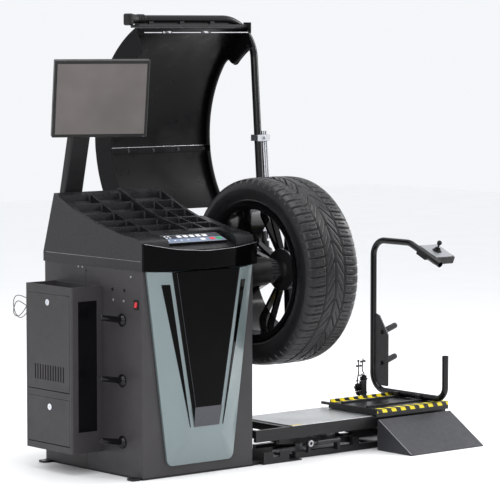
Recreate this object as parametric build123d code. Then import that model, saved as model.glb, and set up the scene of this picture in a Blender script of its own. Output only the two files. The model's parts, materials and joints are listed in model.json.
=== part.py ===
"""Wheel balancer with weight tray, monitor, swing guard, mounted wheel and pneumatic wheel lift.

Units are millimetres. The origin is the centre of the cabinet's underside, on the floor.
+X runs along the spindle from the cabinet to the wheel, +Y to the rear and +Z up.
"""
from build123d import *
import math
import os

os.makedirs("parts", exist_ok=True)

# ---- driving dimensions -------------------------------------------------------------
HALF_W, HALF_D = 285.0, 330.0          # cabinet half width and half depth
BODY_TOP = 872.0                       # top of the cabinet's side panels
COVER_TOP = 833.0                      # top of the front cover, bottom of the tray's skirt
SHEET = 3.0                            # folded steel sheet
SPINDLE_Y, SPINDLE_Z = -170.0, 780.0   # spindle axis, parallel to X
SHAFT_R = 20.0                         # 40 mm spindle shaft
HUB_FACE = 585.0                       # where the wheel seats against the flange
SHAFT_END = 810.0
TYRE_R = 392.0                         # tyre outer radius
TYRE_X0, TYRE_X1 = 393.0, 675.0        # tyre section, inboard to outboard
RIM_R = 287.0                          # rim flange radius
SPOKES = 10                            # pairs of spokes
PIVOT_Y, PIVOT_Z = 455.0, 780.0        # guard pivot axis, parallel to X
GUARD_Y, GUARD_Z = 540.0, 1828.0       # guard tube's top run
LEG_X = 1011.0                         # guard tube's side leg
KNEE_Y, KNEE_Z = 488.0, 1130.0         # slight bend in the leg
TUBE_R = 17.0
HOOD_Y, HOOD_Z, HOOD_R = 249.0, 1314.0, 534.0
HOOD_X0, HOOD_X1 = 315.0, 941.0
BOX_X0, BOX_X1 = -439.0, -285.3        # storage box on the left side
BOX_Y0, BOX_Y1 = -68.0, 248.0
BOX_Z0, BOX_Z1 = 87.0, 758.0
LIFT_Y0, LIFT_Y1 = -330.0, 5.0         # lift platform
LIFT_X0, LIFT_X1 = 302.0, 1380.0
PLATE_X0 = 499.0
PLATE_TOP = 145.0
DECK_X0, DECK_X1 = 956.0, 1380.0       # carriage deck
DECK_Y0, DECK_Y1 = -348.0, -40.0
DECK_TOP = 172.0
ARM_L = 400.0                          # lift arm, pivot to pivot
BASE_PIVOTS = (1300.0, 880.0)          # x of the two base pivots
BASE_PIVOT_Z, TOP_PIVOT_Z = 45.0, 75.0
HANDLE_X = 1312.0                      # plane of the carriage handle
HANDLE_R = 14.0


# ---- helpers ------------------------------------------------------------------------
def block(x0, x1, y0, y1, z0, z1, soft=0.0):
    """A box from its limits, with rounded edges where soft is given."""
    solid = Pos((x0 + x1) / 2, (y0 + y1) / 2, (z0 + z1) / 2) * Box(x1 - x0, y1 - y0, z1 - z0)
    return fillet(solid.edges(), soft) if soft else solid


def rod(start, end, radius, end_radius=None):
    """A cylinder, or a cone where end_radius is given, between two points."""
    start, end = Vector(*start), Vector(*end)
    length = (end - start).length
    place = Plane(origin=start, z_dir=end - start)
    base = (Align.CENTER, Align.CENTER, Align.MIN)
    if end_radius is None:
        return place * Cylinder(radius, length, align=base)
    return place * Cone(radius, end_radius, length, align=base)


def prism_x(outline, x0, x1):
    """Extrude a (y, z) outline from x0 to x1."""
    face = make_face(Polyline(*outline, close=True))
    return extrude(Plane.YZ.offset(x0) * face, amount=x1 - x0)


def prism_y(outline, y0, y1):
    """Extrude an (x, z) outline from y0 to y1."""
    face = make_face(Polyline(*outline, close=True))
    return extrude(Plane.XZ.offset(-y0) * face, amount=-(y1 - y0))


def turned(profile, y=SPINDLE_Y, z=SPINDLE_Z):
    """Turn an (x, radius) profile about the axis through (y, z), parallel to X."""
    plane = Plane(origin=(0, y, z), x_dir=(1, 0, 0), z_dir=(0, -1, 0))
    face = plane * make_face(Polyline(*profile, close=True))
    return revolve(face, Axis((0, y, z), (1, 0, 0)), 360)


def ring(x0, x1, inner, outer, y=SPINDLE_Y, z=SPINDLE_Z):
    """A plain ring about an axis parallel to X."""
    return turned([(x0, inner), (x1, inner), (x1, outer), (x0, outer)], y, z)


def bent_tube(points, radii, outer, wall=0.0):
    """A round tube along straight runs joined by arcs."""
    path = FilletPolyline(*points, radius=radii)
    start = Vector(*points[0])
    place = Plane(origin=start, z_dir=Vector(*points[1]) - start)
    solid = sweep(place * Circle(outer), path)
    if wall:
        solid -= sweep(place * Circle(outer - wall), path)
    return solid


def arc_band(inner, outer, low_deg, high_deg, x0, x1):
    """A band about the hood's centre line, between two angles from +Y towards +Z."""
    steps = 24
    angles = [math.radians(low_deg + (high_deg - low_deg) * i / steps) for i in range(steps + 1)]
    far = [(HOOD_Y + outer * math.cos(a), HOOD_Z + outer * math.sin(a)) for a in angles]
    near = [(HOOD_Y + inner * math.cos(a), HOOD_Z + inner * math.sin(a)) for a in reversed(angles)]
    return prism_x(far + near, x0, x1)


def save(name, *solids):
    """Write one node from one or more solids."""
    shape = solids[0] if len(solids) == 1 else Compound(children=list(solids))
    shape.label = name
    export_step(shape, f"parts/{name}.step")


# ---- cabinet ------------------------------------------------------------------------
ANCHOR_X, ANCHOR_Y, ANCHOR_R = 307.0, 300.0, 7.0
SWITCH_Y, SWITCH_Z = -292.0, 698.0
GAUGE_Y, GAUGE_Z = 10.0, 800.0
BASE_T = 8.0


def make_base_plate():
    plate = block(-HALF_W, HALF_W, -HALF_D, HALF_D, 0, BASE_T)
    for sx in (-1, 1):
        for sy in (-1, 1):
            tab = Pos(sx * ANCHOR_X, sy * ANCHOR_Y, BASE_T / 2) * Box(44, 46, BASE_T)
            plate += fillet(tab.edges().filter_by(Axis.Z), 10)
    for sx in (-1, 1):
        for sy in (-1, 1):
            plate -= Pos(sx * ANCHOR_X, sy * ANCHOR_Y, 0) * Cylinder(ANCHOR_R, 4 * BASE_T)
    return plate


def make_cabinet_shell():
    outer = block(-HALF_W, HALF_W, -HALF_D, HALF_D, BASE_T, BODY_TOP)
    outer = fillet(outer.edges().filter_by(Axis.Z), 6)
    shell = outer - block(-HALF_W + SHEET, HALF_W - SHEET, -HALF_D + SHEET, HALF_D - SHEET, 0, 900)
    shell -= block(-150, 150, -HALF_D - 5, -HALF_D + 5, 90, 790)
    shell -= block(-225, 225, HALF_D - 5, HALF_D + 5, 120, 760)
    shell -= rod((HALF_W - 10, SPINDLE_Y, SPINDLE_Z), (HALF_W + 10, SPINDLE_Y, SPINDLE_Z), 62)
    shell -= rod((HALF_W - 10, GAUGE_Y, GAUGE_Z), (HALF_W + 10, GAUGE_Y, GAUGE_Z), 14)
    shell -= block(-HALF_W - 1, -HALF_W + 1, 41, 43, BASE_T, COVER_TOP)
    shell -= block(-HALF_W - 5, -HALF_W + 5, SWITCH_Y - 10, SWITCH_Y + 10, SWITCH_Z - 14, SWITCH_Z + 14)
    return shell


def make_rear_panel():
    panel = block(-245, 245, HALF_D, HALF_D + SHEET, 100, 780)
    panel = fillet(panel.edges().filter_by(Axis.Y), 10)
    for row in range(8):
        z = 560 + 22 * row
        for x in (-120, 0, 120):
            slot = Pos(x, HALF_D, z) * Box(90, 20, 8)
            panel -= slot
    return panel - block(150, 180, HALF_D - 5, HALF_D + 5, 150, 200)


def cover_outline(y, top_half, low_half, top, low, corner):
    """The front cover's trapezium at depth y, with its two lower corners rounded."""
    face = make_face(Polyline((-top_half, top), (top_half, top), (low_half, low), (-low_half, low),
                              close=True))
    low_corners = face.vertices().sort_by(Axis.Y)[:2]
    return Plane.XZ.offset(-y) * fillet(low_corners, corner)


def cover_body(inset=0.0):
    """The bevelled bulge of the front cover, or its inside where inset is given."""
    back = cover_outline(-HALF_D - 0.1 + inset, 272 - inset, 168 - inset, 832 - inset, 45 + inset, 30)
    rim = cover_outline(-342 + inset, 272 - inset, 168 - inset, 832 - inset, 45 + inset, 30)
    crown = cover_outline(-380 + inset, 180 - inset, 84 - inset, 826 - inset, 165 + inset, 22)
    return loft([back, rim], ruled=True) + loft([rim, crown], ruled=True)


def make_front_cover():
    return cover_body() - cover_body(4.0)


def make_front_nose():
    """The raised centre panel, narrow below, ending in a bevel that slopes back to the cover."""
    back = Plane.XZ.offset(380.2) * make_face(Polyline(
        (-176, 828), (176, 828), (62, 200), (-62, 200), close=True))
    front = Plane.XZ.offset(394) * make_face(Polyline(
        (-160, 826), (160, 826), (66, 281), (-66, 281), close=True))
    return loft([back, front], ruled=True)


def make_fascia_cap():
    """The glossy cap over the front's top edge: bowed in plan, its upper edge dips."""
    edge = [(295, 922), (150, 909), (0, 905), (-150, 916), (-288, 942)]
    cap = prism_y([(-288, COVER_TOP), (295, COVER_TOP)] + edge, -400, -HALF_D - 3.2)
    bow = ThreePointArc((-288, -346), (3, -390), (295, -346))
    back = Polyline((295, -346), (295, -HALF_D), (-288, -HALF_D), (-288, -346))
    return cap & extrude(make_face(Curve() + bow + back), amount=1200)


# ---- weight tray --------------------------------------------------------------------
TRAY_X0, TRAY_X1 = -288.0, 288.0
SURFACE = [(-326, 948), (-300, 960), (-196, 972), (-27, 1007), (92, 1045), (256, 1116)]
DIVIDER_X = 46.0
ROWS = 5


def surface_z(y):
    """Height of the tray's upper surface at y."""
    for (y0, z0), (y1, z1) in zip(SURFACE, SURFACE[1:]):
        if y <= y1:
            return z0 + (z1 - z0) * (y - y0) / (y1 - y0)
    return SURFACE[-1][1]


def pocket(x0, x1, y0, y1, depth):
    """A pocket with rounded corners, whose floor follows the tray's slope."""
    plan = Pos((x0 + x1) / 2, (y0 + y1) / 2, 850) * RectangleRounded(x1 - x0, y1 - y0, 9)
    tall = extrude(plan, amount=320)
    floor = [(y0 - 1, surface_z(y0) - depth), (y1 + 1, surface_z(y1) - depth)]
    above = prism_x(floor + [(y1 + 1, 1200), (y0 - 1, 1200)], x0 - 1, x1 + 1)
    return tall & above


def make_weight_tray():
    outline = [(-HALF_D - 3, COVER_TOP), (-HALF_D - 3, 930)] + SURFACE + [(HALF_D + 3, BODY_TOP)]
    tray = prism_x(outline + [(HALF_D + 3, COVER_TOP)], TRAY_X0, TRAY_X1)
    tray -= block(-HALF_W - 0.2, HALF_W + 0.2, -HALF_D - 0.2, HALF_D + 0.2, COVER_TOP - 5, BODY_TOP)
    inner = [(-HALF_D + 6, 860), (-HALF_D + 6, 905), (-196, 915), (-27, 950), (92, 985)]
    tray -= prism_x(inner + [(238, 1040), (300, 860)], -282, 282)
    tray -= prism_x([(-345, 902), (-300, 922), (-212, 952), (-212, 1010), (-345, 1010)], -150, 195)
    tray -= prism_y([(262, 1200), (262, 1010), (300, 1010), (300, 1200)], -20, 400)
    tray -= rod((HALF_W - 5, SPINDLE_Y, SPINDLE_Z), (HALF_W + 10, SPINDLE_Y, SPINDLE_Z), 62)
    pitch = (236 + 178) / ROWS
    for row in range(ROWS):
        y0 = -178 + row * pitch + 4
        y1 = y0 + pitch - 8
        for x0, x1 in ((-272, -122), (-114, 36)):
            tray -= pocket(x0, x1, y0, y1, 27)
        if row == ROWS - 1:
            tray -= pocket(64, 250, y0, y1, 27)
        else:
            for x0, x1 in ((64, 152), (160, 248)):
                tray -= pocket(x0, x1, y0, y1, 27)
    ridge = [(y, z - 2) for y, z in SURFACE[2:]] + [(y, z + 9) for y, z in reversed(SURFACE[2:])]
    return tray + prism_x(ridge, DIVIDER_X - 8, DIVIDER_X + 8)


# ---- keypad -------------------------------------------------------------------------
KEY_TILT = math.degrees(math.atan2(30, 88))
KEY_PLANE = Plane(origin=(22.5, -256, 939.5), x_dir=(1, 0, 0),
                  z_dir=(0, -math.sin(math.radians(KEY_TILT)), math.cos(math.radians(KEY_TILT))))
KEY_W, KEY_D, KEY_H = 25.0, 18.0, 5.0
KEYS = {"stop_key": (95.0, -16.0), "start_key": (128.0, -16.0)}


def make_keypad_panel():
    plate = extrude(RectangleRounded(316, 82, 8), amount=7)
    for x, y in KEYS.values():
        plate -= Pos(x, y, 2.5) * extrude(RectangleRounded(KEY_W + 1, KEY_D + 1, 3.5), amount=10)
    return KEY_PLANE * plate


def make_key(x, y):
    key = extrude(RectangleRounded(KEY_W, KEY_D, 3), amount=KEY_H)
    return KEY_PLANE * (Pos(x, y, 4.0) * fillet(key.edges().group_by(Axis.Z)[-1], 0.8))


# ---- power switch, plugs, pegs ------------------------------------------------------
def make_switch_bezel():
    x = -HALF_W
    frame = block(x - 3, x, SWITCH_Y - 15, SWITCH_Y + 15, SWITCH_Z - 19, SWITCH_Z + 19)
    frame = fillet(frame.edges().filter_by(Axis.X), 3)
    body = block(x - 0.5, x + 24, SWITCH_Y - 10, SWITCH_Y + 10, SWITCH_Z - 14, SWITCH_Z + 14)
    bezel = frame + body - block(x - 5, x + 16, SWITCH_Y - 8, SWITCH_Y + 8, SWITCH_Z - 12, SWITCH_Z + 12)
    return bezel - rod((x + 2, SWITCH_Y - 9.6, SWITCH_Z), (x + 2, SWITCH_Y + 9.6, SWITCH_Z), 1.55)


def make_switch_rocker():
    """A shallow V rocker, resting with its upper half pressed in."""
    x = -HALF_W
    outline = [(x - 3.2, SWITCH_Z + 11), (x - 4.6, SWITCH_Z), (x - 7.4, SWITCH_Z - 11),
               (x + 3, SWITCH_Z - 9), (x + 6, SWITCH_Z), (x + 6.4, SWITCH_Z + 10)]
    pin = rod((x + 2, SWITCH_Y - 9.5, SWITCH_Z), (x + 2, SWITCH_Y + 9.5, SWITCH_Z), 1.5)
    return prism_y(outline, SWITCH_Y - 7.5, SWITCH_Y + 7.5) + pin


def make_weight_pegs():
    """Three tapered pegs for wheel flanges and cones, tipped up by 9 degrees."""
    pegs = []
    for z in (630, 387, 139):
        start = Vector(-HALF_W, -199, z)
        tip = Vector(-HALF_W - 104, -199, z + 17)
        neck = start + (tip - start) * 0.14
        peg = rod((-HALF_W - 4, -199, z), (-HALF_W, -199, z), 26)
        peg += rod(start + (tip - start) * 0.02, neck, 24, 15)
        peg += rod(neck, tip, 13, 11) + Pos(*tip) * Sphere(11)
        pegs.append(peg & block(-HALF_W - 130, -HALF_W, -250, -150, 0, BODY_TOP))
    return pegs


# ---- storage box on the left side ---------------------------------------------------
UPPER_DOOR = (330.0, 723.0)
LOWER_DOOR = (113.0, 303.0)
DOOR_Y0, DOOR_Y1 = -52.0, 232.0
DOOR_T = 12.0
UPPER_LOCK, LOWER_LOCK = (92.0, 689.0), (80.0, 266.0)   # (y, z) of each lock


def make_storage_box():
    box = block(BOX_X0, BOX_X1, BOX_Y0, BOX_Y1, BOX_Z0, BOX_Z1)
    box = fillet(box.edges().filter_by(Axis.Z).sort_by(Axis.X)[:2], 7)
    box -= block(BOX_X0 + 8, BOX_X1 - 6, BOX_Y0 + 8, BOX_Y1 - 8, BOX_Z1 - 24, BOX_Z1 + 5)
    for z0, z1 in (UPPER_DOOR, LOWER_DOOR):
        box -= block(BOX_X0 - 1, BOX_X1 - 3, DOOR_Y0, DOOR_Y1, z0, z1)
    return box


def make_door(z0, z1, lock_y, lock_z, vents):
    """A drop-down door, round along its lower edge where it hinges, with a hole for its lock."""
    half = DOOR_T / 2
    door = block(BOX_X0, BOX_X0 + DOOR_T, DOOR_Y0 + 1, DOOR_Y1 - 1, z0 + half + 1, z1 - 1)
    door = fillet(door.edges().filter_by(Axis.X).sort_by(Axis.Z)[-2:], 4)
    door -= block(BOX_X0 + 3, BOX_X0 + 20, DOOR_Y0 + 8, DOOR_Y1 - 8, z0 + 12, z1 - 60)
    door -= rod((BOX_X0 - 5, lock_y, lock_z), (BOX_X0 + 20, lock_y, lock_z), 9.05)
    for i in range(vents):
        door -= block(BOX_X0 - 5, BOX_X0 + 20, -14 + 17.5 * i, -7 + 17.5 * i, 372, 434)
    start = Vector(BOX_X0 + half, DOOR_Y0 + 1, z0 + half + 1)
    return door + rod(start, start + Vector(0, DOOR_Y1 - DOOR_Y0 - 2, 0), half)


def make_lock(lock_y, lock_z):
    """A cam lock: ringed head outside, barrel through the door and a flat cam inside."""
    x = BOX_X0
    lock = rod((x - 4, lock_y, lock_z), (x - 0.3, lock_y, lock_z), 13)
    lock += rod((x - 1, lock_y, lock_z), (x + DOOR_T + 8, lock_y, lock_z), 9)
    lock -= block(x - 5, x - 2.5, lock_y - 1, lock_y + 1, lock_z - 5, lock_z + 5)
    return lock + block(x + DOOR_T + 4, x + DOOR_T + 7, lock_y - 7, lock_y + 31, lock_z - 7, lock_z + 7)


# ---- monitor ------------------------------------------------------------------------
POST_LEAN = math.radians(13.5)
MONITOR_C = Vector(-168.6, 89.4, 1501.3)
MONITOR_YAW, MONITOR_LEAN = 24.8, 14.0
MONITOR_W, MONITOR_H, MONITOR_T = 395.0, 323.0, 44.0
SWIVEL = Vector(-148, 160, 1515)        # vertical pin that the monitor's yoke turns on
TILT_PIN = -MONITOR_T - 4               # depth of the tilt pin behind the screen's face


def post_front(z):
    """Y of the post's front face at height z."""
    return 290 - math.tan(POST_LEAN) * (z - 1100)


def monitor_plane():
    """Origin at the screen's centre, z out of the screen, y up the screen."""
    yaw, lean = math.radians(-MONITOR_YAW), math.radians(MONITOR_LEAN)
    facing = Vector(math.sin(yaw), -math.cos(yaw), 0)
    across = Vector(math.cos(yaw), math.sin(yaw), 0)
    normal = facing * math.cos(lean) - Vector(0, 0, 1) * math.sin(lean)
    return Plane(origin=MONITOR_C, x_dir=across, z_dir=normal)


def make_monitor_post():
    z0, z1, t = 800, 1556, 42
    outline = [(post_front(z0), z0), (post_front(z0) + t, z0), (post_front(z1) + t, z1), (post_front(z1), z1)]
    post = prism_x(outline, -210, -117)
    return fillet([edge for edge in post.edges() if edge.length > 300], 8)


def make_post_bracket():
    outline = [(HALF_D + SHEET + 0.1, 784), (post_front(806), 806), (post_front(862), 862), (HALF_D + 3.3, 862)]
    return prism_x(outline, -230, -97)


def make_swivel_base():
    """The fixed fork on the post's front, whose vertical pin carries the yoke."""
    fork = Part()
    for low in (-32, 24):
        z = SWIVEL.Z + low
        fork += block(SWIVEL.X - 24, SWIVEL.X + 24, SWIVEL.Y - 14, post_front(z) + 6, z, z + 8)
    return fork + rod(SWIVEL - Vector(0, 0, 36), SWIVEL + Vector(0, 0, 36), 6)


def make_monitor_yoke():
    """A sleeve on the vertical pin, a cross head and two ears for the tilt pin."""
    plane = monitor_plane()
    sleeve = rod(SWIVEL - Vector(0, 0, 23.5), SWIVEL + Vector(0, 0, 23.5), 12)
    head = plane * block(-32, 32, -16, 16, -MONITOR_T - 26, -MONITOR_T - 16)
    yoke = sleeve + head
    for x in (-29, 29):
        yoke += plane * block(x - 3, x + 3, -8, 8, -MONITOR_T - 18, -MONITOR_T + 2)
    yoke -= rod(SWIVEL - Vector(0, 0, 40), SWIVEL + Vector(0, 0, 40), 6.05)
    return yoke - plane * rod((-40, 0, TILT_PIN), (40, 0, TILT_PIN), 3.05)


def make_monitor_housing():
    plane = monitor_plane()
    shell = block(-MONITOR_W / 2, MONITOR_W / 2, -MONITOR_H / 2, MONITOR_H / 2, -30, 0, soft=4)
    shell += loft([Plane.XY.offset(-28) * Rectangle(330, 260), Plane.XY.offset(-MONITOR_T + 4) * Rectangle(240, 180)])
    shell -= block(-188.5, 188.5, -151, 151, -3, 5)
    lug = block(-24, 24, -9, 9, -MONITOR_T - 8, -MONITOR_T + 6)
    pin = rod((-34, 0, TILT_PIN), (34, 0, TILT_PIN), 3)
    return plane * (shell + lug + pin)


def make_monitor_screen():
    return monitor_plane() * block(-188.2, 188.2, -150.7, 150.7, -3, -1)


# ---- spindle and drive --------------------------------------------------------------
MOTOR_Y, MOTOR_Z = -30.0, 520.0
BELT_X0, BELT_X1 = -196.0, -180.0
PULLEY_R, MOTOR_PULLEY_R = 70.0, 28.0


def make_spindle_housing():
    return ring(-150, 478, 40, 60) + ring(180, 200, 60, 74)


def make_pedestal():
    top = 702.0
    column = block(-130, 220, -235, -105, BASE_T, top) - block(-122, 212, -300, 0, BASE_T + 10, top - 12)
    saddle = [(-225, top), (-115, top), (-120, 719), (-220, 719)]
    return column + prism_x(saddle, -120, -80) + prism_x(saddle, 120, 160)


def make_force_sensors():
    return [rod((x, SPINDLE_Y, 719), (x, SPINDLE_Y, 720), 18) for x in (-100, 140)]


def make_belt():
    """A flat belt round both pulleys, 0.4 mm off them."""
    top, low = Vector(SPINDLE_Y, SPINDLE_Z, 0), Vector(MOTOR_Y, MOTOR_Z, 0)

    def loop(extra):
        faces = Pos(*top) * Circle(PULLEY_R + extra) + Pos(*low) * Circle(MOTOR_PULLEY_R + extra)
        run = low - top
        reach = run.length
        turn = math.asin((PULLEY_R - MOTOR_PULLEY_R) / reach)
        along = math.atan2(run.Y, run.X)
        spots = []
        for side in (1, -1):
            a = along + side * (math.pi / 2 - turn)
            out = Vector(math.cos(a), math.sin(a), 0)
            spots.append((top + out * (PULLEY_R + extra), low + out * (MOTOR_PULLEY_R + extra)))
        (a0, a1), (b0, b1) = spots
        web = make_face(Polyline((a0.X, a0.Y), (a1.X, a1.Y), (b1.X, b1.Y), (b0.X, b0.Y), close=True))
        return faces + web

    return extrude(Plane.YZ.offset(BELT_X0) * (loop(3.4) - loop(0.4)), amount=BELT_X1 - BELT_X0)


def make_motor():
    body = rod((-165, MOTOR_Y, MOTOR_Z), (-20, MOTOR_Y, MOTOR_Z), 58)
    body += block(-140, -45, MOTOR_Y - 50, MOTOR_Y + 50, MOTOR_Z - 72, MOTOR_Z - 40)
    return body - rod((-170, MOTOR_Y, MOTOR_Z), (-25, MOTOR_Y, MOTOR_Z), 8.05)


def make_motor_shelf():
    shelf = block(-270, 270, -100, 90, MOTOR_Z - 78, MOTOR_Z - 72)
    return shelf - block(-131, 221, -236, -80, 0, 900)


def make_circuit_boards():
    board = block(-120, 160, 180, 182, 300, 520) + block(-60, 40, 182, 214, 340, 420)
    return board + block(70, 130, 182, 206, 430, 490)


def make_ribbed_collar():
    collar = ring(480.5, 520, SHAFT_R, 48)
    for i in range(24):
        a = math.radians(15 * i)
        y, z = SPINDLE_Y + 48 * math.cos(a), SPINDLE_Z + 48 * math.sin(a)
        collar += rod((483, y, z), (517, y, z), 4.5)
    return collar


def make_wheel_flange():
    return turned([(520, SHAFT_R), (HUB_FACE, SHAFT_R), (HUB_FACE, 87.5), (572, 87.5), (568, 84),
                   (560, 52), (545, 42), (520, 40)])


def make_cone():
    """Centring cone: its nose fills the wheel's bore, its shoulder takes the nut's cup."""
    return turned([(586, SHAFT_R + 0.05), (640, SHAFT_R + 0.05), (640, 44), (601, 50), (601, 32.9), (586, 31)])


def make_quick_nut():
    nut = turned([(640.3, SHAFT_R + 0.05), (705, SHAFT_R + 0.05), (705, 32), (690, 36), (664, 38),
                  (656, 62), (640.3, 62)])
    for side in (-1, 1):
        wing = rod((685, SPINDLE_Y, SPINDLE_Z + side * 30), (700, SPINDLE_Y, SPINDLE_Z + side * 92), 11, 9)
        nut += wing + Pos(700, SPINDLE_Y, SPINDLE_Z + side * 92) * Sphere(11)
    return nut


BARREL_R = 262.0


def make_wheel_rim():
    """Two-flange barrel with a hub and pairs of straight spokes near the outboard face."""
    barrel = turned([(410, BARREL_R), (658, BARREL_R), (664, RIM_R - 8), (664, RIM_R), (656, RIM_R),
                     (650, 276), (600, 272), (560, 268), (520, 268), (440, 272), (418, 276),
                     (412, RIM_R), (404, RIM_R), (404, RIM_R - 8)])
    hub = turned([(HUB_FACE, 33), (600, 33), (600, 60), (626, 66), (626, 84), (HUB_FACE, 84)])
    for i in range(5):
        a = math.radians(72 * i)
        y, z = SPINDLE_Y + 56 * math.cos(a), SPINDLE_Z + 56 * math.sin(a)
        hub -= rod((570, y, z), (640, y, z), 8)
    rim = barrel + hub
    axis = Axis((0, SPINDLE_Y, SPINDLE_Z), (1, 0, 0))
    for i in range(SPOKES):
        for side in (-1, 1):
            spoke = prism_y([(600, SPINDLE_Z + 78), (624, SPINDLE_Z + 78), (652, SPINDLE_Z + BARREL_R + 2),
                             (622, SPINDLE_Z + BARREL_R + 2)], SPINDLE_Y - 6, SPINDLE_Y + 6)
            rim += spoke.rotate(axis, 36 * i + side * 5.5)
    return rim


def make_tyre():
    """Low-profile tyre: bead to shoulder, closed on the rim's seats."""
    face = Plane(origin=(0, SPINDLE_Y, SPINDLE_Z), x_dir=(1, 0, 0), z_dir=(0, -1, 0)) * make_face(
        Polyline((418, 279), (410, 292), (400, 304), (TYRE_X0, 338), (398, 366), (412, 383),
                 (440, TYRE_R - 2), (534, TYRE_R), (628, TYRE_R - 2), (656, 383), (670, 366),
                 (TYRE_X1, 338), (668, 304), (658, 292), (650, 279), (638, 279), (646, 315),
                 (640, 366), (534, 378), (428, 366), (422, 315), (430, 279), close=True))
    return revolve(face, Axis((0, SPINDLE_Y, SPINDLE_Z), (1, 0, 0)), 360)


# ---- distance gauge on the right side -----------------------------------------------
def make_gauge_bush():
    x = HALF_W
    return ring(x, x + 14, 8.05, 24, GAUGE_Y, GAUGE_Z) + ring(x - 40, x, 8.05, 13.9, GAUGE_Y, GAUGE_Z)


def make_gauge_rod():
    return rod((40, GAUGE_Y, GAUGE_Z), (352, GAUGE_Y, GAUGE_Z), 8)


def make_gauge_arm():
    collar = ring(340, 362, 8.02, 15, GAUGE_Y, GAUGE_Z)
    collar += rod((351, GAUGE_Y, GAUGE_Z + 12), (351, GAUGE_Y, GAUGE_Z + 110), 6)
    collar += rod((344, GAUGE_Y, GAUGE_Z + 110), (376, GAUGE_Y, GAUGE_Z + 110), 8)
    return collar - rod((330, GAUGE_Y, GAUGE_Z), (352.2, GAUGE_Y, GAUGE_Z), 8.02)


# ---- wheel guard --------------------------------------------------------------------
SEAM_DEG, HOOD_TOP_DEG, HOOD_LOW_DEG = -7.4, 63.0, -38.0
HOOD_T = 4.0


def make_pivot_bracket():
    """A bearing tube behind the cabinet on two plates bolted to its rear."""
    tube_part = ring(90, 278, SHAFT_R + 0.05, 30, PIVOT_Y, PIVOT_Z)
    for x in (110, 250):
        outline = [(HALF_D + 8, 700), (PIVOT_Y + 10, 752), (PIVOT_Y + 10, 808), (HALF_D + 8, 832)]
        tube_part += prism_x(outline, x - 4, x + 4)
    tube_part += block(90, 278, HALF_D + SHEET, HALF_D + 8, 700, 832)
    return tube_part - rod((80, PIVOT_Y, PIVOT_Z), (290, PIVOT_Y, PIVOT_Z), SHAFT_R + 0.05)


def make_guard_shaft():
    return rod((80, PIVOT_Y, PIVOT_Z), (LEG_X + 20, PIVOT_Y, PIVOT_Z), SHAFT_R)


def make_guard_tube(outer=TUBE_R, wall=2.5):
    points = [(HOOD_X0 + 45, GUARD_Y, GUARD_Z), (LEG_X, GUARD_Y, GUARD_Z), (LEG_X, KNEE_Y, KNEE_Z),
              (LEG_X, PIVOT_Y + 2, PIVOT_Z + 20)]
    return bent_tube(points, [174, 300], outer, wall)


def make_guard_hub():
    hub = ring(LEG_X - 24, LEG_X + 24, SHAFT_R, 34, PIVOT_Y, PIVOT_Z)
    hub += rod((LEG_X, PIVOT_Y, PIVOT_Z + 15), (LEG_X, PIVOT_Y + 3, PIVOT_Z + 60), TUBE_R + 6)
    hub -= rod((LEG_X, PIVOT_Y + 1, PIVOT_Z + 19), (LEG_X, PIVOT_Y + 9, PIVOT_Z + 140), TUBE_R + 0.05)
    return hub - rod((LEG_X - 40, PIVOT_Y, PIVOT_Z), (LEG_X + 40, PIVOT_Y, PIVOT_Z), SHAFT_R)


def make_end_cap():
    """Moulded end of the guard tube: a D-shaped grip, tapering into a ribbed collar."""
    cap = rod((HOOD_X0 + 45, GUARD_Y, GUARD_Z), (HOOD_X0 + 10, GUARD_Y, GUARD_Z), 19, 24)
    cap += block(HOOD_X0 - 12, HOOD_X0 + 12, GUARD_Y - 26, GUARD_Y + 24, GUARD_Z - 28, GUARD_Z + 24, soft=9)
    for i in range(4):
        x = HOOD_X0 + 48 + 9 * i
        cap += ring(x, x + 5, TUBE_R + 0.05, 21, GUARD_Y, GUARD_Z)
    return cap + ring(HOOD_X0 + 44, HOOD_X0 + 84, TUBE_R + 0.02, 19, GUARD_Y, GUARD_Z)


def make_hood_rail():
    """The flat rail under the tube that carries the hood's top edge, on three saddles."""
    low, high = GUARD_Z - 38, GUARD_Z - 24
    rail = block(HOOD_X0 + 20, HOOD_X1 + 1, 488, GUARD_Y + 10, low, high)
    rail = fillet(rail.edges().filter_by(Axis.X), 4)
    for x in (430, 600, 770):
        rail += block(x - 12, x + 12, GUARD_Y - 14, GUARD_Y + 10, high - 1, GUARD_Z - 4)
    return rail - make_guard_tube(TUBE_R + 0.05, 0)


def make_rail_end_plate():
    return block(HOOD_X1 + 0.5, HOOD_X1 + 6, 470, 520, GUARD_Z - 62, GUARD_Z - 14, soft=2)


def hood_shell(low_deg, high_deg, with_ear):
    inner = HOOD_R - HOOD_T
    shell = arc_band(inner, HOOD_R, low_deg, high_deg, HOOD_X0, HOOD_X1)
    shell += arc_band(HOOD_R - 115, HOOD_R, low_deg, high_deg, HOOD_X0, HOOD_X0 + HOOD_T)
    shell += arc_band(HOOD_R - 28, HOOD_R, low_deg, high_deg, HOOD_X1 - HOOD_T, HOOD_X1)
    if with_ear:
        shell += hood_ear(high_deg)
    return shell


def hood_ear(high_deg, low_deg=43, depth=95.0, corner=28.0):
    """The deeper stretch of the right lip under the rail, with a round lower corner."""
    x0, x1 = HOOD_X1 - HOOD_T, HOOD_X1
    corner_r = HOOD_R - depth + corner
    corner_deg = low_deg + math.degrees(math.asin(corner / corner_r))
    a = math.radians(corner_deg)
    y, z = HOOD_Y + corner_r * math.cos(a), HOOD_Z + corner_r * math.sin(a)
    ear = arc_band(corner_r, HOOD_R, low_deg, high_deg, x0, x1)
    ear += arc_band(HOOD_R - depth, HOOD_R, corner_deg, high_deg, x0, x1)
    return ear + rod((x0, y, z), (x1, y, z), corner)


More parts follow.
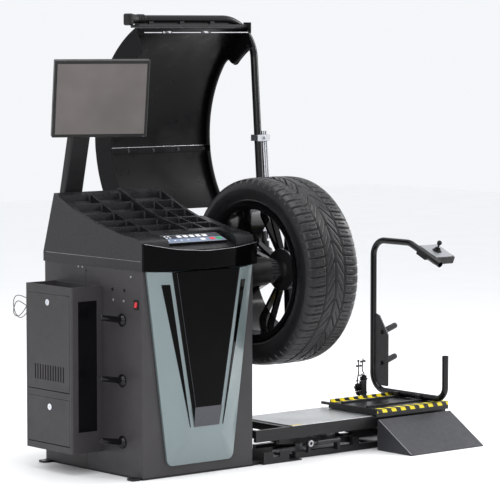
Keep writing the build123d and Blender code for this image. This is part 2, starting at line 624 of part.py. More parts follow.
def leg_y(z):
    """Y of the side leg's centre line at height z; the leg bends a little at its knee."""
    top, low = (GUARD_Y, GUARD_Z), (PIVOT_Y + 2, PIVOT_Z + 20)
    far_y, far_z = top if z > KNEE_Z else low
    return KNEE_Y + (far_y - KNEE_Y) * (z - KNEE_Z) / (far_z - KNEE_Z)


def make_cable_rail():
    """Aluminium profile beside the leg, with two grooves."""
    x0, x1, t = LEG_X + TUBE_R + 2, LEG_X + TUBE_R + 29, 20
    outline = [(leg_y(850) - t / 2, 850), (leg_y(850) + t / 2, 850), (leg_y(1330) + t / 2, 1330),
               (leg_y(1330) - t / 2, 1330)]
    rail = prism_x(outline, x0, x1)
    for x in (x0 + 8, x1 - 8):
        groove = [(y, z) for y, z in outline]
        groove[1] = (leg_y(850) - t / 2 + 4, 850)
        groove[2] = (leg_y(1330) - t / 2 + 4, 1330)
        groove[0] = (leg_y(850) - t, 850)
        groove[3] = (leg_y(1330) - t, 1330)
        rail -= prism_x(groove, x - 3, x + 3)
    return rail


def make_rail_clamps():
    """Strap clamps holding the profile to the leg."""
    clamps = []
    for z in (900, 1300):
        y = leg_y(z)
        strap = block(LEG_X - TUBE_R - 4, LEG_X + TUBE_R + 33, y - TUBE_R - 7, y + TUBE_R + 7, z - 14, z + 14)
        strap -= block(LEG_X - TUBE_R - 0.5, LEG_X + TUBE_R + 29.5, y - TUBE_R - 3.5, y + TUBE_R + 3.5, z - 20, z + 20)
        clamps.append(strap + rod((LEG_X + 20, y - TUBE_R - 14, z), (LEG_X + 20, y - TUBE_R - 6.9, z), 6))
    return clamps


# ---- wheel lift ---------------------------------------------------------------------
ARM_YS = (-262.0, -63.0)
CYL_Y, CYL_Z = -200.0, 53.0             # air cylinder's axis
PIN_R = 8.0


def top_pivot(base_x):
    """X of an arm's platform pivot when the lift is down."""
    rise = TOP_PIVOT_Z - BASE_PIVOT_Z
    return base_x - math.sqrt(ARM_L ** 2 - rise ** 2)


def make_lift_base():
    """Floor frame: two rails, cross members and the lugs of the base pivots."""
    frame = Part()
    for y0, y1 in ((-302, -278), (-47, -23)):
        frame += block(540, 1345, y0, y1, 0, 27)
        for x in BASE_PIVOTS:
            frame += block(x - 18, x + 18, y0, y1, 20, BASE_PIVOT_Z + 14)
    for x0 in (540, 1050, 1320):
        frame += block(x0, x0 + 25, -302, -23, 0, 12)
    for x in BASE_PIVOTS:
        frame -= rod((x, -320, BASE_PIVOT_Z), (x, 0, BASE_PIVOT_Z), PIN_R)
    return frame


def make_base_pins():
    return [rod((x, -305, BASE_PIVOT_Z), (x, -20, BASE_PIVOT_Z), PIN_R) for x in BASE_PIVOTS]


def make_arm_pair(base_x, with_lever):
    """Two arms on a torque tube. The pair with the cylinder's lever has wide upper bores."""
    x1 = top_pivot(base_x)
    frame = Part()
    for y in ARM_YS:
        run = Vector(x1 - base_x, 0, TOP_PIVOT_Z - BASE_PIVOT_Z)
        place = Plane(origin=(base_x, y, BASE_PIVOT_Z), x_dir=run, z_dir=(0, -1, 0))
        bar = place * (Pos(ARM_L / 2, 0, 0) * Box(ARM_L + 30, 26, 12))
        frame += fillet(bar.edges().filter_by(Axis.Y), 10)
    frame += rod((base_x, ARM_YS[0], BASE_PIVOT_Z), (base_x, ARM_YS[1], BASE_PIVOT_Z), 13)
    if with_lever:
        tip_x, tip_z = base_x - 28, BASE_PIVOT_Z + 21
        frame += rod((tip_x, CYL_Y - 8, tip_z), (tip_x, CYL_Y + 8, tip_z), 9)
        lever = [(base_x + 8, BASE_PIVOT_Z + 10), (base_x - 8, BASE_PIVOT_Z - 10),
                 (tip_x - 6, tip_z - 5), (tip_x + 4, tip_z + 7)]
        frame += prism_y(lever, CYL_Y - 5, CYL_Y + 5)
    frame -= rod((base_x, -320, BASE_PIVOT_Z), (base_x, 0, BASE_PIVOT_Z), PIN_R + 0.05)
    wide = 1.0 if with_lever else 0.05
    return frame - rod((x1, -320, TOP_PIVOT_Z), (x1, 0, TOP_PIVOT_Z), PIN_R + wide)


def make_platform_frame():
    """Two long side rails, end members and lugs for the platform pivots."""
    frame = Part()
    for y0, y1 in ((LIFT_Y0, LIFT_Y0 + 16), (LIFT_Y1 - 16, LIFT_Y1)):
        frame += block(LIFT_X0, LIFT_X1, y0, y1, 93, PLATE_TOP - 3)
    for x0 in (LIFT_X0, 620, 1120, LIFT_X1 - 16):
        frame += block(x0, x0 + 16, LIFT_Y0, LIFT_Y1, 112, PLATE_TOP - 3)
    for base_x in BASE_PIVOTS:
        x = top_pivot(base_x)
        for y0 in (ARM_YS[0] + 6.5, ARM_YS[1] - 16.5):
            frame += block(x - 14, x + 14, y0, y0 + 10, TOP_PIVOT_Z - 12, 114)
        frame += block(x - 14, x + 14, LIFT_Y0, LIFT_Y1, 112, PLATE_TOP - 3)
        frame -= rod((x, -320, TOP_PIVOT_Z), (x, 0, TOP_PIVOT_Z), PIN_R)
    return frame


def make_platform_pins():
    return [rod((top_pivot(x), -272, TOP_PIVOT_Z), (top_pivot(x), -53, TOP_PIVOT_Z), PIN_R)
            for x in BASE_PIVOTS]


def make_platform_cover():
    return block(PLATE_X0, LIFT_X1, LIFT_Y0, LIFT_Y1, PLATE_TOP - 3, PLATE_TOP)


def make_floor_link():
    """Bracket between the cabinet's front anchor and the lift's base."""
    link = block(332, 539.9, -344, -232, 0, 5)
    link += block(332, 470, -344, -339, 0, 50) + block(332, 470, -237, -232, 0, 50)
    link -= block(385, 420, -350, -330, 26, 60)
    ear = block(288, 340, -322, -278, BASE_T, BASE_T + 5) + block(332, 340, -322, -278, 0, BASE_T + 5)
    return link + ear - Pos(ANCHOR_X, -ANCHOR_Y, 10) * Cylinder(ANCHOR_R, 30)


def make_air_cylinder():
    body = rod((642, CYL_Y, CYL_Z), (805, CYL_Y, CYL_Z), 14.5)
    body += block(642, 654, CYL_Y - 16, CYL_Y + 16, CYL_Z - 40.9, CYL_Z + 16)
    body += block(790, 805, CYL_Y - 16, CYL_Y + 16, CYL_Z - 16, CYL_Z + 16)
    body += block(600, 660, CYL_Y - 20, CYL_Y + 20, 12, 18) + block(540, 660, CYL_Y - 20, CYL_Y + 20, 12.05, 18)
    return body - rod((660, CYL_Y, CYL_Z), (810, CYL_Y, CYL_Z), 6.05)


def make_cylinder_rod():
    shaft = rod((664, CYL_Y, CYL_Z), (830, CYL_Y, CYL_Z), 6)
    return shaft + block(829, 841, CYL_Y - 12, CYL_Y + 12, CYL_Z - 11, CYL_Z + 33, soft=2)


# ---- carriage on the platform -------------------------------------------------------
def make_deck():
    deck = block(DECK_X0, DECK_X1, DECK_Y0, DECK_Y1, DECK_TOP - 5, DECK_TOP)
    deck += block(DECK_X0, DECK_X1, DECK_Y0, DECK_Y0 + 5, 138, DECK_TOP)
    deck += block(DECK_X0, DECK_X1, DECK_Y1 - 5, DECK_Y1, PLATE_TOP + 2, DECK_TOP)
    for x0 in (DECK_X0, DECK_X1 - 5):
        deck += block(x0, x0 + 5, DECK_Y0, DECK_Y1, PLATE_TOP + 2, DECK_TOP)
    return deck


def make_deck_rollers():
    wheels = []
    for x in (DECK_X0 + 60, DECK_X1 - 60):
        for y in (-310, -80):
            wheels.append(rod((x, y - 12, PLATE_TOP + 10.3), (x, y + 12, PLATE_TOP + 10.3), 10))
            wheels[-1] += rod((x, y - 16, PLATE_TOP + 10.3), (x, y + 16, PLATE_TOP + 10.3), 4)
            wheels[-1] += block(x - 6, x + 6, y + 12.5, y + 16, PLATE_TOP + 6, DECK_TOP - 5)
            wheels[-1] += block(x - 6, x + 6, y - 16, y - 12.5, PLATE_TOP + 6, DECK_TOP - 5)
    return wheels


def make_wheel_stops():
    """Two low rounded ribs that stop the wheel from rolling."""
    return [block(DECK_X0 + 14, HANDLE_X - 30, y - 7, y + 7, DECK_TOP, DECK_TOP + 9) for y in (-272, -112)]


def make_deck_with_stops():
    deck = make_deck()
    for stop in make_wheel_stops():
        deck += stop
    return deck


def make_handle_tube(outer=HANDLE_R, wall=2.5):
    points = [(HANDLE_X, -397, 379), (HANDLE_X, -397, 188), (HANDLE_X, 62, 188), (HANDLE_X, 62, 855),
              (HANDLE_X, -170, 855), (HANDLE_X, -363, 772)]
    return bent_tube(points, [55, 77, 70, 90], outer, wall)


def make_handle_clamps():
    clamps = []
    for y in (-250, -110):
        saddle = block(HANDLE_X - 26, HANDLE_X + 26, y - 12, y + 12, DECK_TOP, DECK_TOP + 24)
        clamps.append(saddle - rod((HANDLE_X, y - 20, 188), (HANDLE_X, y + 20, 188), HANDLE_R + 0.02))
    return clamps


def make_gusset():
    """Side plate on the rear upright, with the two wheel pegs' bolts."""
    outline = [(-35, 210), (47.9, 210), (47.9, 530), (20, 520), (-35, 440)]
    plate = prism_x(outline, HANDLE_X - 3, HANDLE_X + 3)
    for z in (447, 310):
        plate += rod((HANDLE_X - 12, 8, z), (HANDLE_X - 3, 8, z), 9)
    return plate - make_handle_tube(HANDLE_R + 0.02, 0)


def make_handle_pegs():
    pegs = []
    for z in (447, 310):
        start, tip = (HANDLE_X + 3, 8, z), (HANDLE_X + 78, 8, z + 24)
        pegs.append(rod((HANDLE_X + 3, 8, z), (HANDLE_X + 9, 8, z), 18) + rod(
            (HANDLE_X + 8, 8, z + 1.6), tip, 14, 13) + Pos(*tip) * Sphere(13))
    return pegs


CONTROL = Plane(origin=(HANDLE_X + HANDLE_R + 2, -262, 815), x_dir=(1, 0, 0),
                z_dir=(0, -math.sin(math.atan2(83, 193)), math.cos(math.atan2(83, 193))))


def make_control_box():
    box = block(0, 116, -62, 62, -28, 7, soft=6)
    clamp = block(-32, 4, -30, 30, -17, 6) - rod((-16, -60, 0.4), (-16, 60, 0.4), HANDLE_R + 0.02)
    well = Pos(58, 0, 0) * Cylinder(9, 40, align=(Align.CENTER, Align.CENTER, Align.MIN))
    return CONTROL * (box + clamp - well - rod((46.4, 0, 5), (69.6, 0, 5), 1.25))


def make_joystick():
    """A ball-ended stick on a pivot ball and its cross pin."""
    stick = rod((58, 0, 7.5), (58, 0, 40), 4) + Pos(58, 0, 46) * Sphere(11)
    ball = Pos(58, 0, 5) * Sphere(8) & block(48, 68, -10, 10, 2.5, 14)
    return CONTROL * (stick + ball + rod((46.5, 0, 5), (69.5, 0, 5), 1.2))


def make_air_unit():
    """Air service unit on the deck's rear skirt: body, filter bowl and regulator knob."""
    unit = block(1138, 1192, DECK_Y1, 18, 196, 244, soft=3) + block(1150, 1180, DECK_Y1, DECK_Y1 + 8, 149, 220)
    unit += rod((1165, -6, 196), (1165, -6, 152), 19, 16)
    return unit + rod((1165, -6, 244), (1165, -6, 300), 14) + rod((1165, -6, 300), (1165, -6, 345), 18)


def make_ramp():
    outline = [(-566, 0), (-353, 0), (-353, 131), (-361, 131), (-566, 4)]
    ramp = prism_x(outline, DECK_X0, DECK_X1)
    return ramp - prism_x([(-520, 0), (-359, 0), (-359, 98)], DECK_X0 + 6, DECK_X1 - 6)


def make_bearings():
    """Two spindle bearings in the housing and the gauge's guide bush."""
    races = [ring(x, x + 22, SHAFT_R + 0.05, 40) for x in (-145, 450)]
    return races + [make_gauge_bush()]


FREE_END_X = 705.5                     # start of the shaft's free end


def make_spindle_shaft():
    """The shaft with its belt pulley and encoder disc, and a relief behind the free end."""
    shaft = rod((-215, SPINDLE_Y, SPINDLE_Z), (SHAFT_END, SPINDLE_Y, SPINDLE_Z), SHAFT_R)
    shaft -= ring(FREE_END_X - 3, FREE_END_X, SHAFT_R - 1.5, SHAFT_R + 2)
    shaft += ring(BELT_X0 - 2, BELT_X1 + 2, SHAFT_R - 1, PULLEY_R)
    return shaft + ring(-212, -210, SHAFT_R - 1, 55)


def make_motor_shaft():
    shaft = rod((-215, MOTOR_Y, MOTOR_Z), (-30, MOTOR_Y, MOTOR_Z), 8)
    return shaft + ring(BELT_X0 - 2, BELT_X1 + 2, 7, MOTOR_PULLEY_R, MOTOR_Y, MOTOR_Z)


def make_electronics():
    """Control board with its heat sinks, the two force sensors and the encoder's pick-up."""
    pick_up = block(-216, -206, -106, -96, 770, 790)
    return [make_circuit_boards(), *make_force_sensors(), pick_up]


NODES = {
    "base_plate": make_base_plate,
    "cabinet_shell": make_cabinet_shell,
    "rear_panel": make_rear_panel,
    "front_cover": make_front_cover,
    "front_nose": make_front_nose,
    "fascia_cap": make_fascia_cap,
    "weight_tray": make_weight_tray,
    "keypad_panel": make_keypad_panel,
    "stop_key": lambda: make_key(*KEYS["stop_key"]),
    "start_key": lambda: make_key(*KEYS["start_key"]),
    "switch_bezel": make_switch_bezel,
    "switch_rocker": make_switch_rocker,
    "weight_pegs": make_weight_pegs,
    "storage_box": make_storage_box,
    "upper_door": lambda: make_door(*UPPER_DOOR, *UPPER_LOCK, 12),
    "lower_door": lambda: make_door(*LOWER_DOOR, *LOWER_LOCK, 0),
    "upper_lock": lambda: make_lock(*UPPER_LOCK),
    "lower_lock": lambda: make_lock(*LOWER_LOCK),
    "monitor_post": lambda: make_monitor_post() + make_post_bracket() + make_swivel_base(),
    "monitor_yoke": make_monitor_yoke,
    "monitor_housing": make_monitor_housing,
    "monitor_screen": make_monitor_screen,
    "spindle_pedestal": lambda: [make_pedestal(), make_motor_shelf()],
    "spindle_housing": make_spindle_housing,
    "bearings": make_bearings,
    "spindle_shaft": make_spindle_shaft,
    "drive_belt": make_belt,
    "drive_motor": make_motor,
    "motor_shaft": make_motor_shaft,
    "electronics": make_electronics,
    "wheel_flange": lambda: [make_wheel_flange(), make_ribbed_collar()],
    "centring_cone": make_cone,
    "quick_nut": make_quick_nut,
    "wheel_rim": make_wheel_rim,
    "tyre": make_tyre,
    "gauge_rod": make_gauge_rod,
    "gauge_arm": make_gauge_arm,
    "guard_bracket": make_pivot_bracket,
    "guard_arm": lambda: make_guard_shaft() + make_guard_hub() + make_guard_tube(),
    "guard_end_cap": make_end_cap,
    "hood_rail": lambda: make_hood_rail() + make_rail_end_plate(),
    "upper_hood": lambda: hood_shell(SEAM_DEG, HOOD_TOP_DEG, True),
    "lower_hood": lambda: hood_shell(HOOD_LOW_DEG, SEAM_DEG, False),
    "cable_rail": lambda: [make_cable_rail(), *make_rail_clamps()],
    "lift_base": lambda: [make_lift_base(), *make_base_pins()],
    "right_arms": lambda: make_arm_pair(BASE_PIVOTS[0], False),
    "left_arms": lambda: make_arm_pair(BASE_PIVOTS[1], True),
    "platform_frame": lambda: [make_platform_frame(), *make_platform_pins()],
    "platform_cover": make_platform_cover,
    "floor_link": make_floor_link,
    "air_cylinder": make_air_cylinder,
    "cylinder_rod": make_cylinder_rod,
    "carriage_deck": make_deck_with_stops,
    "deck_rollers": make_deck_rollers,
    "handle_tube": make_handle_tube,
    "handle_gusset": lambda: [make_gusset(), *make_handle_pegs(), *make_handle_clamps()],
    "control_box": make_control_box,
    "joystick": make_joystick,
    "air_unit": make_air_unit,
    "ramp": make_ramp,
}


def main():
    for name, make in NODES.items():
        made = make()
        save(name, *(made if isinstance(made, list) else [made]))


if __name__ == "__main__":
    main()
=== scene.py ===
"""Looks of the wheel balancer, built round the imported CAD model. Metres, in the CAD frame:
+X runs along the spindle to the wheel, +Y to the rear and +Z up."""
import json
import math

import bmesh
import bpy
from mathutils import Matrix, Vector

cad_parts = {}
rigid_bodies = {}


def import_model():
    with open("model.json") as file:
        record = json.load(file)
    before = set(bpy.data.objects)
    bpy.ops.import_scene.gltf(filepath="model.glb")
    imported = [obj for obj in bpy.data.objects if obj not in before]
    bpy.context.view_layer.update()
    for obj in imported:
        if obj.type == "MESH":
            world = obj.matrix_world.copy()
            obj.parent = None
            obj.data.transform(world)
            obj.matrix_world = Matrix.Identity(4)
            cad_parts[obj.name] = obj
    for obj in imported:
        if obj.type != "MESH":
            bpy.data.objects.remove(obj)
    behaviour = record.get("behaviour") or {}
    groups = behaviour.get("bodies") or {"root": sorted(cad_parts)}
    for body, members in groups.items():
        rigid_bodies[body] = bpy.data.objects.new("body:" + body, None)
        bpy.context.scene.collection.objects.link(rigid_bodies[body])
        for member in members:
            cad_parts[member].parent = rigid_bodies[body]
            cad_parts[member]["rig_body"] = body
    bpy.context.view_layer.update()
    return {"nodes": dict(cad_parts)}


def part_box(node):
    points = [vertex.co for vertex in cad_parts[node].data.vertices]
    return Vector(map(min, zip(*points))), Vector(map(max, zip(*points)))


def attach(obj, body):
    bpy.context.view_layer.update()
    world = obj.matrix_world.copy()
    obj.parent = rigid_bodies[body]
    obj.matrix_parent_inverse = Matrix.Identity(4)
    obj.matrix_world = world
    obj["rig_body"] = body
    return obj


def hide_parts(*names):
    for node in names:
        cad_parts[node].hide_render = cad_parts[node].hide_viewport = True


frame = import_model()
NODES = frame["nodes"]
MM = 0.001
WELD = 1e-6                   # vertices closer than this are one
FLAT = math.radians(0.6)      # faces within this angle are one flat

# ---- places taken from the frame ----------------------------------------------------
tyre_low, tyre_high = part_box("tyre")
SPINDLE = Vector(((tyre_low.x + tyre_high.x) / 2, (tyre_low.y + tyre_high.y) / 2,
                  (tyre_low.z + tyre_high.z) / 2))
TYRE_R = (tyre_high.z - tyre_low.z) / 2
cover_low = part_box("front_cover")[0]
box_low, box_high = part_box("storage_box")
shell_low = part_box("cabinet_shell")[0]
hood_low, hood_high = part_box("upper_hood")
deck_low, deck_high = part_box("carriage_deck")
tray_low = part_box("weight_tray")[0]


# ---- node materials -----------------------------------------------------------------
class Graph:
    """A material's node tree, with short calls for the nodes used here."""

    def __init__(self, name):
        self.material = bpy.data.materials.new(name)
        self.material.use_nodes = True
        self.nodes = self.material.node_tree.nodes
        self.links = self.material.node_tree.links
        self.shader = self.nodes["Principled BSDF"]
        self.coords = self.nodes.new("ShaderNodeTexCoord").outputs["Object"]

    def put(self, source, target):
        self.links.new(source, target)

    def stretched(self, scale=(1, 1, 1), turn=(0, 0, 0)):
        mapping = self.nodes.new("ShaderNodeMapping")
        mapping.inputs["Scale"].default_value = scale
        mapping.inputs["Rotation"].default_value = turn
        self.put(self.coords, mapping.inputs["Vector"])
        return mapping.outputs["Vector"]

    def noise(self, scale, detail=4.0, vector=None, rough=0.55):
        node = self.nodes.new("ShaderNodeTexNoise")
        node.inputs["Scale"].default_value = scale
        node.inputs["Detail"].default_value = detail
        node.inputs["Roughness"].default_value = rough
        self.put(vector or self.coords, node.inputs["Vector"])
        return node.outputs["Fac"]

    def cells(self, scale, vector=None):
        node = self.nodes.new("ShaderNodeTexVoronoi")
        node.inputs["Scale"].default_value = scale
        self.put(vector or self.coords, node.inputs["Vector"])
        return node.outputs["Distance"]

    def span(self, value, low, high, out_low, out_high):
        node = self.nodes.new("ShaderNodeMapRange")
        for key, number in zip(("From Min", "From Max", "To Min", "To Max"), (low, high, out_low, out_high)):
            node.inputs[key].default_value = number
        self.put(value, node.inputs["Value"])
        return node.outputs["Result"]

    def ramp(self, value, *stops):
        node = self.nodes.new("ShaderNodeValToRGB")
        while len(node.color_ramp.elements) < len(stops):
            node.color_ramp.elements.new(0.5)
        for element, (place, colour) in zip(node.color_ramp.elements, stops):
            element.position = place
            element.color = (*colour, 1)
        self.put(value, node.inputs["Fac"])
        return node.outputs["Color"]

    def mix(self, factor, first, second):
        node = self.nodes.new("ShaderNodeMix")
        node.data_type = "RGBA"
        if isinstance(factor, float):
            node.inputs["Factor"].default_value = factor
        else:
            self.put(factor, node.inputs["Factor"])
        for value, socket in ((first, node.inputs[6]), (second, node.inputs[7])):
            if isinstance(value, tuple):
                socket.default_value = (*value, 1)
            else:
                self.put(value, socket)
        return node.outputs[2]

    def maths(self, operation, first, second):
        node = self.nodes.new("ShaderNodeMath")
        node.operation = operation
        for value, socket in ((first, node.inputs[0]), (second, node.inputs[1])):
            if isinstance(value, (int, float)):
                socket.default_value = value
            else:
                self.put(value, socket)
        return node.outputs["Value"]

    def bump(self, height, distance, strength=1.0, below=None):
        node = self.nodes.new("ShaderNodeBump")
        node.inputs["Strength"].default_value = strength
        node.inputs["Distance"].default_value = distance
        self.put(height, node.inputs["Height"])
        if below is not None:
            self.put(below, node.inputs["Normal"])
        return node.outputs["Normal"]

    def finish(self, colour, rough, normal=None, metal=0.0, coat=0.0, coat_rough=0.05, specular=0.5):
        for value, key in ((colour, "Base Color"), (rough, "Roughness"), (normal, "Normal")):
            if value is not None:
                self.put(value, self.shader.inputs[key])
        self.shader.inputs["Metallic"].default_value = metal
        self.shader.inputs["Coat Weight"].default_value = coat
        self.shader.inputs["Coat Roughness"].default_value = coat_rough
        self.shader.inputs["Specular IOR Level"].default_value = specular
        return self.material


def shade(colour, factor):
    return tuple(min(1.0, channel * factor) for channel in colour)


def powder_coat(name, colour, rough=0.48, sparkle=1.7, grain=1.0):
    """Baked powder paint: pebbled at about a millimetre, speckled, and a little dusty."""
    g = Graph(name)
    speck = g.noise(1500, 2, rough=0.7)
    cloud = g.noise(5, 5)
    tint = g.ramp(cloud, (0.3, shade(colour, 0.86)), (0.7, shade(colour, 1.16)))
    base = g.mix(g.span(speck, 0.55, 0.75, 0.0, 0.75), tint, shade(colour, sparkle))
    pebbles = g.noise(620, 3)
    normal = g.bump(pebbles, 0.0007 * grain, 0.55, g.bump(g.noise(14, 2), 0.001, 0.12))
    return g.finish(base, g.span(g.noise(38, 6), 0.3, 0.7, rough - 0.07, rough + 0.1), normal,
                    specular=0.3)


def gloss_plastic(name, colour, rough=0.07, dust=0.12, coat=0.6, specular=0.35):
    """Polished moulding: faint flow marks, hairline scratches and settled dust."""
    g = Graph(name)
    hair = g.noise(60, 3, g.stretched((1, 26, 3), (0.4, 0.2, 0.5)), 0.8)
    dusty = g.noise(340, 6, rough=0.8)
    base = g.mix(g.span(dusty, 0.6, 0.82, 0.0, dust), g.ramp(
        g.noise(6, 3), (0.35, shade(colour, 0.8)), (0.65, shade(colour, 1.25))), (0.20, 0.20, 0.21))
    level = g.maths("ADD", g.span(hair, 0.58, 0.75, 0.0, 0.09), g.span(dusty, 0.5, 0.8, rough, rough + 0.16))
    normal = g.bump(g.noise(22, 2), 0.0012, 0.10)
    return g.finish(base, level, normal, 0.0, coat, 0.03, specular)


def moulded(name, colour, rough=0.42, grain=850, depth=0.0003, specular=0.3):
    """Textured ABS: fine leather-like grain with worn, slightly shinier patches."""
    g = Graph(name)
    tint = g.ramp(g.noise(8, 4), (0.3, shade(colour, 0.85)), (0.72, shade(colour, 1.22)))
    base = g.mix(g.span(g.noise(1100, 2), 0.6, 0.8, 0.0, 0.4), tint, shade(colour, 2.0))
    normal = g.bump(g.cells(grain), depth, 0.6, g.bump(g.noise(260, 4), depth, 0.5))
    return g.finish(base, g.span(g.noise(16, 6), 0.3, 0.7, rough - 0.08, rough + 0.1), normal,
                    specular=specular)


def metallic_paint(name, colour, rough=0.33):
    """Metallic lacquer: tiny flakes under a clear coat with light orange peel."""
    g = Graph(name)
    flake = g.noise(2600, 1, rough=0.4)
    base = g.mix(g.span(flake, 0.42, 0.62, 0.0, 0.8), g.ramp(
        g.noise(4, 4), (0.3, shade(colour, 0.92)), (0.7, shade(colour, 1.07))), shade(colour, 1.35))
    normal = g.bump(g.noise(170, 2), 0.0005, 0.16, g.bump(flake, 0.0001, 0.4))
    return g.finish(base, g.span(g.noise(24, 5), 0.3, 0.7, rough - 0.05, rough + 0.07), normal, 0.35, 0.45, 0.12)


def worn_metal(name, colour, rough=0.28, brush=(1, 1, 1), scale=420, stain=0.25, metal=1.0):
    """Machined or drawn metal: tool lines along one way, patchy oil film and small nicks."""
    g = Graph(name)
    lines = g.noise(scale, 4, g.stretched(brush), 0.7)
    film = g.noise(11, 6)
    base = g.mix(g.span(film, 0.45, 0.75, 0.0, stain), g.ramp(
        lines, (0.3, shade(colour, 0.78)), (0.7, shade(colour, 1.15))), shade(colour, 0.45))
    level = g.maths("ADD", g.span(lines, 0.3, 0.7, rough - 0.08, rough + 0.08), g.span(film, 0.3, 0.8, 0, 0.12))
    normal = g.bump(lines, 0.0002, 0.35, g.bump(g.cells(130), 0.0002, 0.12))
    return g.finish(base, level, normal, metal)


def tyre_rubber(name):
    """Fresh rubber: near black, matt, with pale mould bloom, fine pores and painted shade that darkens the grooves.
    """
    g = Graph(name)
    colour = (0.0050, 0.0050, 0.0056)
    bloom = g.noise(13, 6)
    base = g.mix(g.span(bloom, 0.42, 0.72, 0.0, 0.35), g.ramp(
        g.noise(300, 3), (0.3, shade(colour, 0.7)), (0.7, shade(colour, 1.35))), (0.013, 0.013, 0.015))
    parts = g.nodes.new("ShaderNodeSeparateXYZ")
    g.put(g.coords, parts.inputs["Vector"])
    offsets = [g.maths("SUBTRACT", parts.outputs[axis], centre)
               for axis, centre in (("Y", SPINDLE.y), ("Z", SPINDLE.z))]
    reach = g.maths("POWER", g.maths("ADD", *[g.maths("MULTIPLY", gap, gap) for gap in offsets]), 0.5)
    # painted shade: where the tread is cut below its face, the colour falls to near black, standing in for the shade
    # inside the grooves
    groove_shade = g.span(reach, TYRE_R - 0.0065, TYRE_R - 0.0030, 1.0, 0.0)
    sideways = g.maths("ABSOLUTE", g.maths("SUBTRACT", parts.outputs["X"], SPINDLE.x), 0.0)
    tread = g.span(sideways, 0.090, 0.112, 1.0, 0.0)
    base = g.mix(g.maths("MULTIPLY", groove_shade, tread), base, (0.0008, 0.0008, 0.0009))
    normal = g.bump(g.noise(900, 4), 0.0003, 0.5, g.bump(g.noise(70, 3), 0.0006, 0.25))
    return g.finish(base, g.span(g.noise(45, 5), 0.3, 0.7, 0.27, 0.42), normal, specular=0.34)


def striped(name, dark, light, pitch, axis_weights, soil=0.5, rough=0.5):
    """Slanted two-colour tape with soil and rubbed patches."""
    g = Graph(name)
    parts = g.nodes.new("ShaderNodeSeparateXYZ")
    g.put(g.coords, parts.inputs["Vector"])
    total = None
    for letter, weight in zip("XYZ", axis_weights):
        if weight:
            term = g.maths("MULTIPLY", parts.outputs[letter], weight / pitch)
            total = term if total is None else g.maths("ADD", total, term)
    wave = g.maths("PINGPONG", total, 1.0)
    bands = g.mix(g.span(wave, 0.47, 0.53, 0.0, 1.0), dark, light)
    soiled = g.mix(g.span(g.noise(90, 7, rough=0.75), 0.52, 0.78, 0.0, soil), bands, (0.10, 0.09, 0.08))
    return g.finish(soiled, g.span(g.noise(150, 4), 0.3, 0.7, rough - 0.12, rough + 0.12),
                    g.bump(g.noise(700, 3), 0.0003, 0.4))


def screen_panel(name):
    """Switched-off panel: warm grey film with a fine pixel weave and a soft sheen."""
    g = Graph(name)
    weave = g.cells(2400)
    base = g.mix(g.span(g.noise(3, 3), 0.3, 0.7, 0.0, 1.0), (0.058, 0.048, 0.044), (0.105, 0.089, 0.082))
    return g.finish(base, g.span(g.noise(60, 5), 0.3, 0.7, 0.17, 0.26), g.bump(weave, 0.0001, 0.15),
                    0.0, 0.35, 0.08)


def floor_finish(name):
    """Pale studio floor with faint clouds."""
    g = Graph(name)
    base = g.ramp(g.noise(2, 3), (0.3, (0.955, 0.96, 0.965)), (0.7, (0.98, 0.98, 0.98)))
    return g.finish(base, g.span(g.noise(14, 4), 0.3, 0.7, 0.42, 0.55), g.bump(g.noise(120, 3), 0.0004, 0.1))


